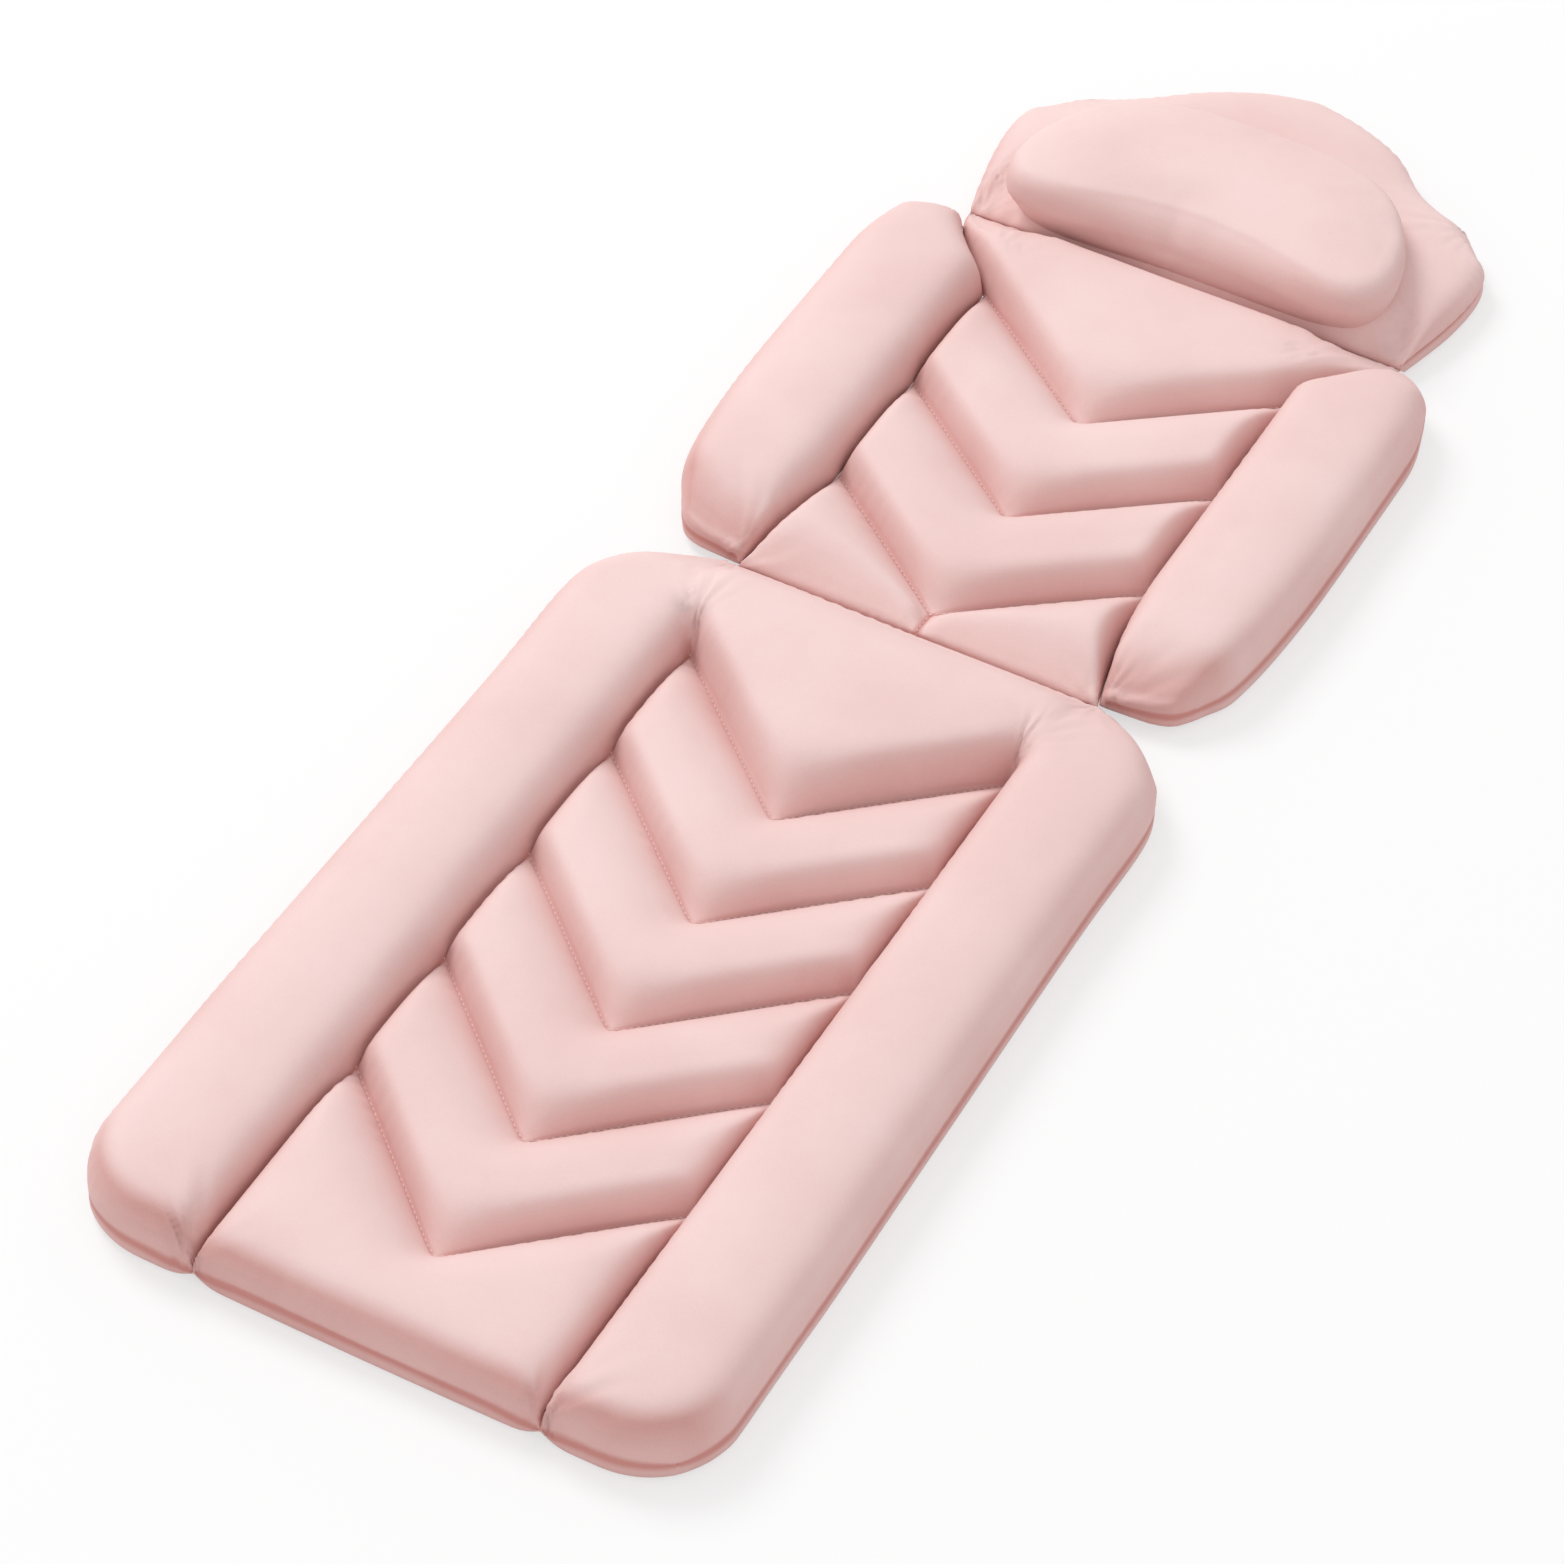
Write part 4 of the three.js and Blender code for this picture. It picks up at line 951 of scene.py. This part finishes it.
def makeStitchTree(s=stitch):
    tree = bpy.data.node_groups.new("stitchRun", "GeometryNodeTree")
    addSocket(tree, "Geometry", "Geometry")
    for name in ("Pitch", "Length", "Thickness", "Lift"):
        addSocket(tree, name, "Float", s[name.lower()])
    addSocket(tree, "Thread", "Material")
    addSocket(tree, "Geometry", "Geometry", way="OUTPUT")
    given = addNode(tree, "NodeGroupInput", (-900, 0))
    result = addNode(tree, "NodeGroupOutput", (900, 0))
    run = addNode(tree, "GeometryNodeMeshToCurve", (-700, 100))
    even = addNode(tree, "GeometryNodeResampleCurve", (-500, 100), mode="LENGTH")
    thread = addNode(
        tree, "GeometryNodeMeshUVSphere", (-500, -200), {"Segments": 6, "Rings": 5, "Radius": 0.5})
    tangent = addNode(tree, "GeometryNodeInputTangent", (-500, -400))
    aim = addNode(tree, "FunctionNodeAlignRotationToVector", (-280, -380), axis="X")
    size = addNode(tree, "ShaderNodeCombineXYZ", (-280, -560))
    place = addNode(tree, "GeometryNodeInstanceOnPoints", (-40, 100))
    raised = addNode(tree, "ShaderNodeCombineXYZ", (60, -200))
    lift = addNode(tree, "GeometryNodeSetPosition", (-280, 140))
    real = addNode(tree, "GeometryNodeRealizeInstances", (200, 100))
    paint = addNode(tree, "GeometryNodeSetMaterial", (420, 100))
    wire(
        tree, (given, "Geometry", run, "Mesh"), (run, "Curve", even, "Curve"),
        (given, "Pitch", even, "Length"), (even, "Curve", lift, "Geometry"), (given, "Lift", raised, "Z"),
        (raised, 0, lift, "Offset"), (lift, "Geometry", place, "Points"),
        (thread, "Mesh", place, "Instance"), (tangent, "Tangent", aim, "Vector"),
        (aim, "Rotation", place, "Rotation"), (given, "Length", size, "X"),
        (given, "Thickness", size, "Y"), (given, "Thickness", size, "Z"), (size, 0, place, "Scale"),
        (place, "Instances", real, "Geometry"), (real, "Geometry", paint, "Geometry"),
        (given, "Thread", paint, "Material"), (paint, "Geometry", result, "Geometry"))
    return tree


# runs a tree over a helper mesh and keeps the outcome as a plain mesh
def runTree(name, tree, points, edges, inputs):
    mesh = bpy.data.meshes.new(name)
    mesh.from_pydata([tuple(p) for p in points], edges, [])
    obj = newObject(name, mesh)
    modifier = obj.modifiers.new("tree", "NODES")
    modifier.node_group = tree
    for item in tree.interface.items_tree:
        if item.in_out == "INPUT" and item.name in inputs:
            modifier[item.identifier] = inputs[item.name]
    graph = bpy.context.evaluated_depsgraph_get()
    plain = bpy.data.meshes.new_from_object(obj.evaluated_get(graph))
    obj.modifiers.clear()
    obj.data = plain
    plain.name = name
    plain.polygons.foreach_set("use_smooth", [True] * len(plain.polygons))
    return obj


stitchTree = makeStitchTree()


def sewStitches(body, lines):
    points, edges = [], []
    for line in lines:
        first = len(points)
        points += list(line)
        edges += [(first + k, first + k + 1) for k in range(len(line) - 1)]
    obj = runTree(body + "_stitches", stitchTree, points, edges, dict(Thread=stitchThread))
    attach(obj, body)
    print(obj.name, len(obj.data.polygons), "faces")


for bodyName, lines in sorted(stitchLines.items()):
    sewStitches(bodyName, lines)


# suction cups: a soft vinyl skirt turned round its neck, one for each place
cup = dict(sides=48, outside=(
    (0.0038, 0.0096), (0.0040, 0.0078), (0.0052, 0.0064), (0.0090, 0.0050), (0.0140, 0.0034),
    (0.0180, 0.0018), (0.0205, 0.0006), (0.0210, 0.0002)), inside=(
    (0.0208, 0.0000), (0.0200, 0.0002), (0.0160, 0.0012), (0.0110, 0.0024), (0.0060, 0.0030),
    (0.0020, 0.0033)))


def makeCupShape(s=cup):
    profile = s["outside"] + s["inside"]
    count = s["sides"]
    verts = [(0, 0, profile[0][1])]
    for radius, z in profile:
        for k in range(count):
            turn = 2 * np.pi * k / count
            verts.append((radius * math.cos(turn), radius * math.sin(turn), z))
    verts.append((0, 0, profile[-1][1] + 0.0001))
    last = len(verts) - 1
    faces = []
    for k in range(count):
        j = (k + 1) % count
        faces.append((0, 1 + k, 1 + j))
        for ring in range(len(profile) - 1):
            a = 1 + ring * count
            faces.append((a + k, a + count + k, a + count + j, a + j))
        a = 1 + (len(profile) - 1) * count
        faces.append((a + k, last, a + j))
    mesh = bpy.data.meshes.new("cupShape")
    mesh.from_pydata(verts, [], faces)
    return newObject("cupShape", mesh)


def makeCupTree():
    tree = bpy.data.node_groups.new("cupRow", "GeometryNodeTree")
    addSocket(tree, "Geometry", "Geometry")
    addSocket(tree, "Cup", "Object")
    addSocket(tree, "Size", "Float", 1.0)
    addSocket(tree, "Vinyl", "Material")
    addSocket(tree, "Geometry", "Geometry", way="OUTPUT")
    given = addNode(tree, "NodeGroupInput", (-600, 0))
    result = addNode(tree, "NodeGroupOutput", (700, 0))
    shape = addNode(tree, "GeometryNodeObjectInfo", (-380, -160))
    spots = addNode(tree, "GeometryNodeMeshToPoints", (-380, 120))
    place = addNode(tree, "GeometryNodeInstanceOnPoints", (-120, 60))
    real = addNode(tree, "GeometryNodeRealizeInstances", (120, 60))
    paint = addNode(tree, "GeometryNodeSetMaterial", (360, 60))
    wire(
        tree, (given, "Geometry", spots, "Mesh"), (given, "Cup", shape, "Object"),
        (spots, "Points", place, "Points"), (shape, "Geometry", place, "Instance"),
        (given, "Size", place, "Scale"), (place, "Instances", real, "Geometry"),
        (real, "Geometry", paint, "Geometry"), (given, "Vinyl", paint, "Material"),
        (paint, "Geometry", result, "Geometry"))
    return tree


def fitCups():
    shape = makeCupShape()
    tree = makeCupTree()
    for body, places in sorted(cupPlaces.items()):
        points = [(x, y, 0.0) for x, y in places]
        obj = runTree(body + "_cups", tree, points, [], dict(Cup=shape, Vinyl=cupVinyl))
        prefix = body.replace("_section", "")
        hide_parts(*[prefix + "_suction_cup_" + str(k + 1) for k in range(len(places))])
        if body.endswith("wing"):
            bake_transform(obj)
        else:
            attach(obj, body)
    bpy.data.objects.remove(shape)
    print("cups fitted")


fitCups()


# studio: a pale floor, a white surround for the camera, one big soft key from the upper left and a weak fill
studio = dict(
    floorColour=(0.93, 0.93, 0.93), floorHalf=8, floorDrop=0.0005, floorLift=0.6, worldStrength=0.69,
    key=129.0, keyPlace=(-3.2, 1.2, 4.1), keySize=2.4, fill=8.0, fillPlace=(1.9, -2.2, 2.2), fillSize=2.6)


def seenWhite(tree):
    rays = addNode(tree, "ShaderNodeLightPath", (-900, 300))
    both = addNode(tree, "ShaderNodeMath", (-700, 300), operation="MAXIMUM")
    either = addNode(tree, "ShaderNodeMath", (-520, 300), operation="MAXIMUM")
    wire(
        tree, (rays, "Is Camera Ray", both, 0), (rays, "Is Glossy Ray", both, 1), (both, 0, either, 0),
        (rays, "Is Transmission Ray", either, 1))
    return either


def layFloor(s=studio):
    mesh = bpy.data.meshes.new("floor")
    h = s["floorHalf"]
    mesh.from_pydata([(-h, -h, 0), (h, -h, 0), (h, h, 0), (-h, h, 0)], [], [(0, 1, 2, 3)])
    floor = newObject("floor", mesh)
    floor.location.z = -s["floorDrop"]
    material, tree, shader = newMaterial("paleFloor", {
        "Base Color": s["floorColour"] + (1.0,), "Roughness": 0.9, "Specular IOR Level": 0.1})
    glow = addNode(tree, "ShaderNodeEmission", (0, -300))
    mix = addNode(tree, "ShaderNodeMixShader", (300, 0))
    share = addNode(tree, "ShaderNodeMath", (0, 300), {1: s["floorLift"]}, operation="MULTIPLY")
    wire(
        tree, (seenWhite(tree), 0, share, 0), (share, 0, mix, "Fac"), (shader, "BSDF", mix, 1),
        (glow, "Emission", mix, 2), (mix, "Shader", tree.nodes["Material Output"], "Surface"))
    mesh.materials.append(material)


def setWorld(s=studio):
    world = bpy.data.worlds.new("studio")
    scene.world = world
    world.use_nodes = True
    tree = world.node_tree
    tree.nodes.clear()
    result = addNode(tree, "ShaderNodeOutputWorld", (600, 0))
    white = (1, 1, 1, 1)
    soft = addNode(
        tree, "ShaderNodeBackground", (0, 100), {"Color": white, "Strength": s["worldStrength"]})
    bright = addNode(tree, "ShaderNodeBackground", (0, -100), {"Color": white})
    mix = addNode(tree, "ShaderNodeMixShader", (300, 0))
    wire(
        tree, (seenWhite(tree), 0, mix, "Fac"), (soft, 0, mix, 1), (bright, 0, mix, 2),
        (mix, 0, result, "Surface"))


def addLamp(name, place, size, power):
    data = bpy.data.lights.new(name, "AREA")
    data.shape = "DISK"
    data.size = size
    data.energy = power
    lamp = newObject(name, data)
    lamp.location = place
    lamp.rotation_euler = Vector(place).to_track_quat("Z", "Y").to_euler()


layFloor()
setWorld()
addLamp("keyLamp", studio["keyPlace"], studio["keySize"], studio["key"])
addLamp("fillLamp", studio["fillPlace"], studio["fillSize"], studio["fill"])
scene.view_settings.view_transform = "Standard"
print("studio set")
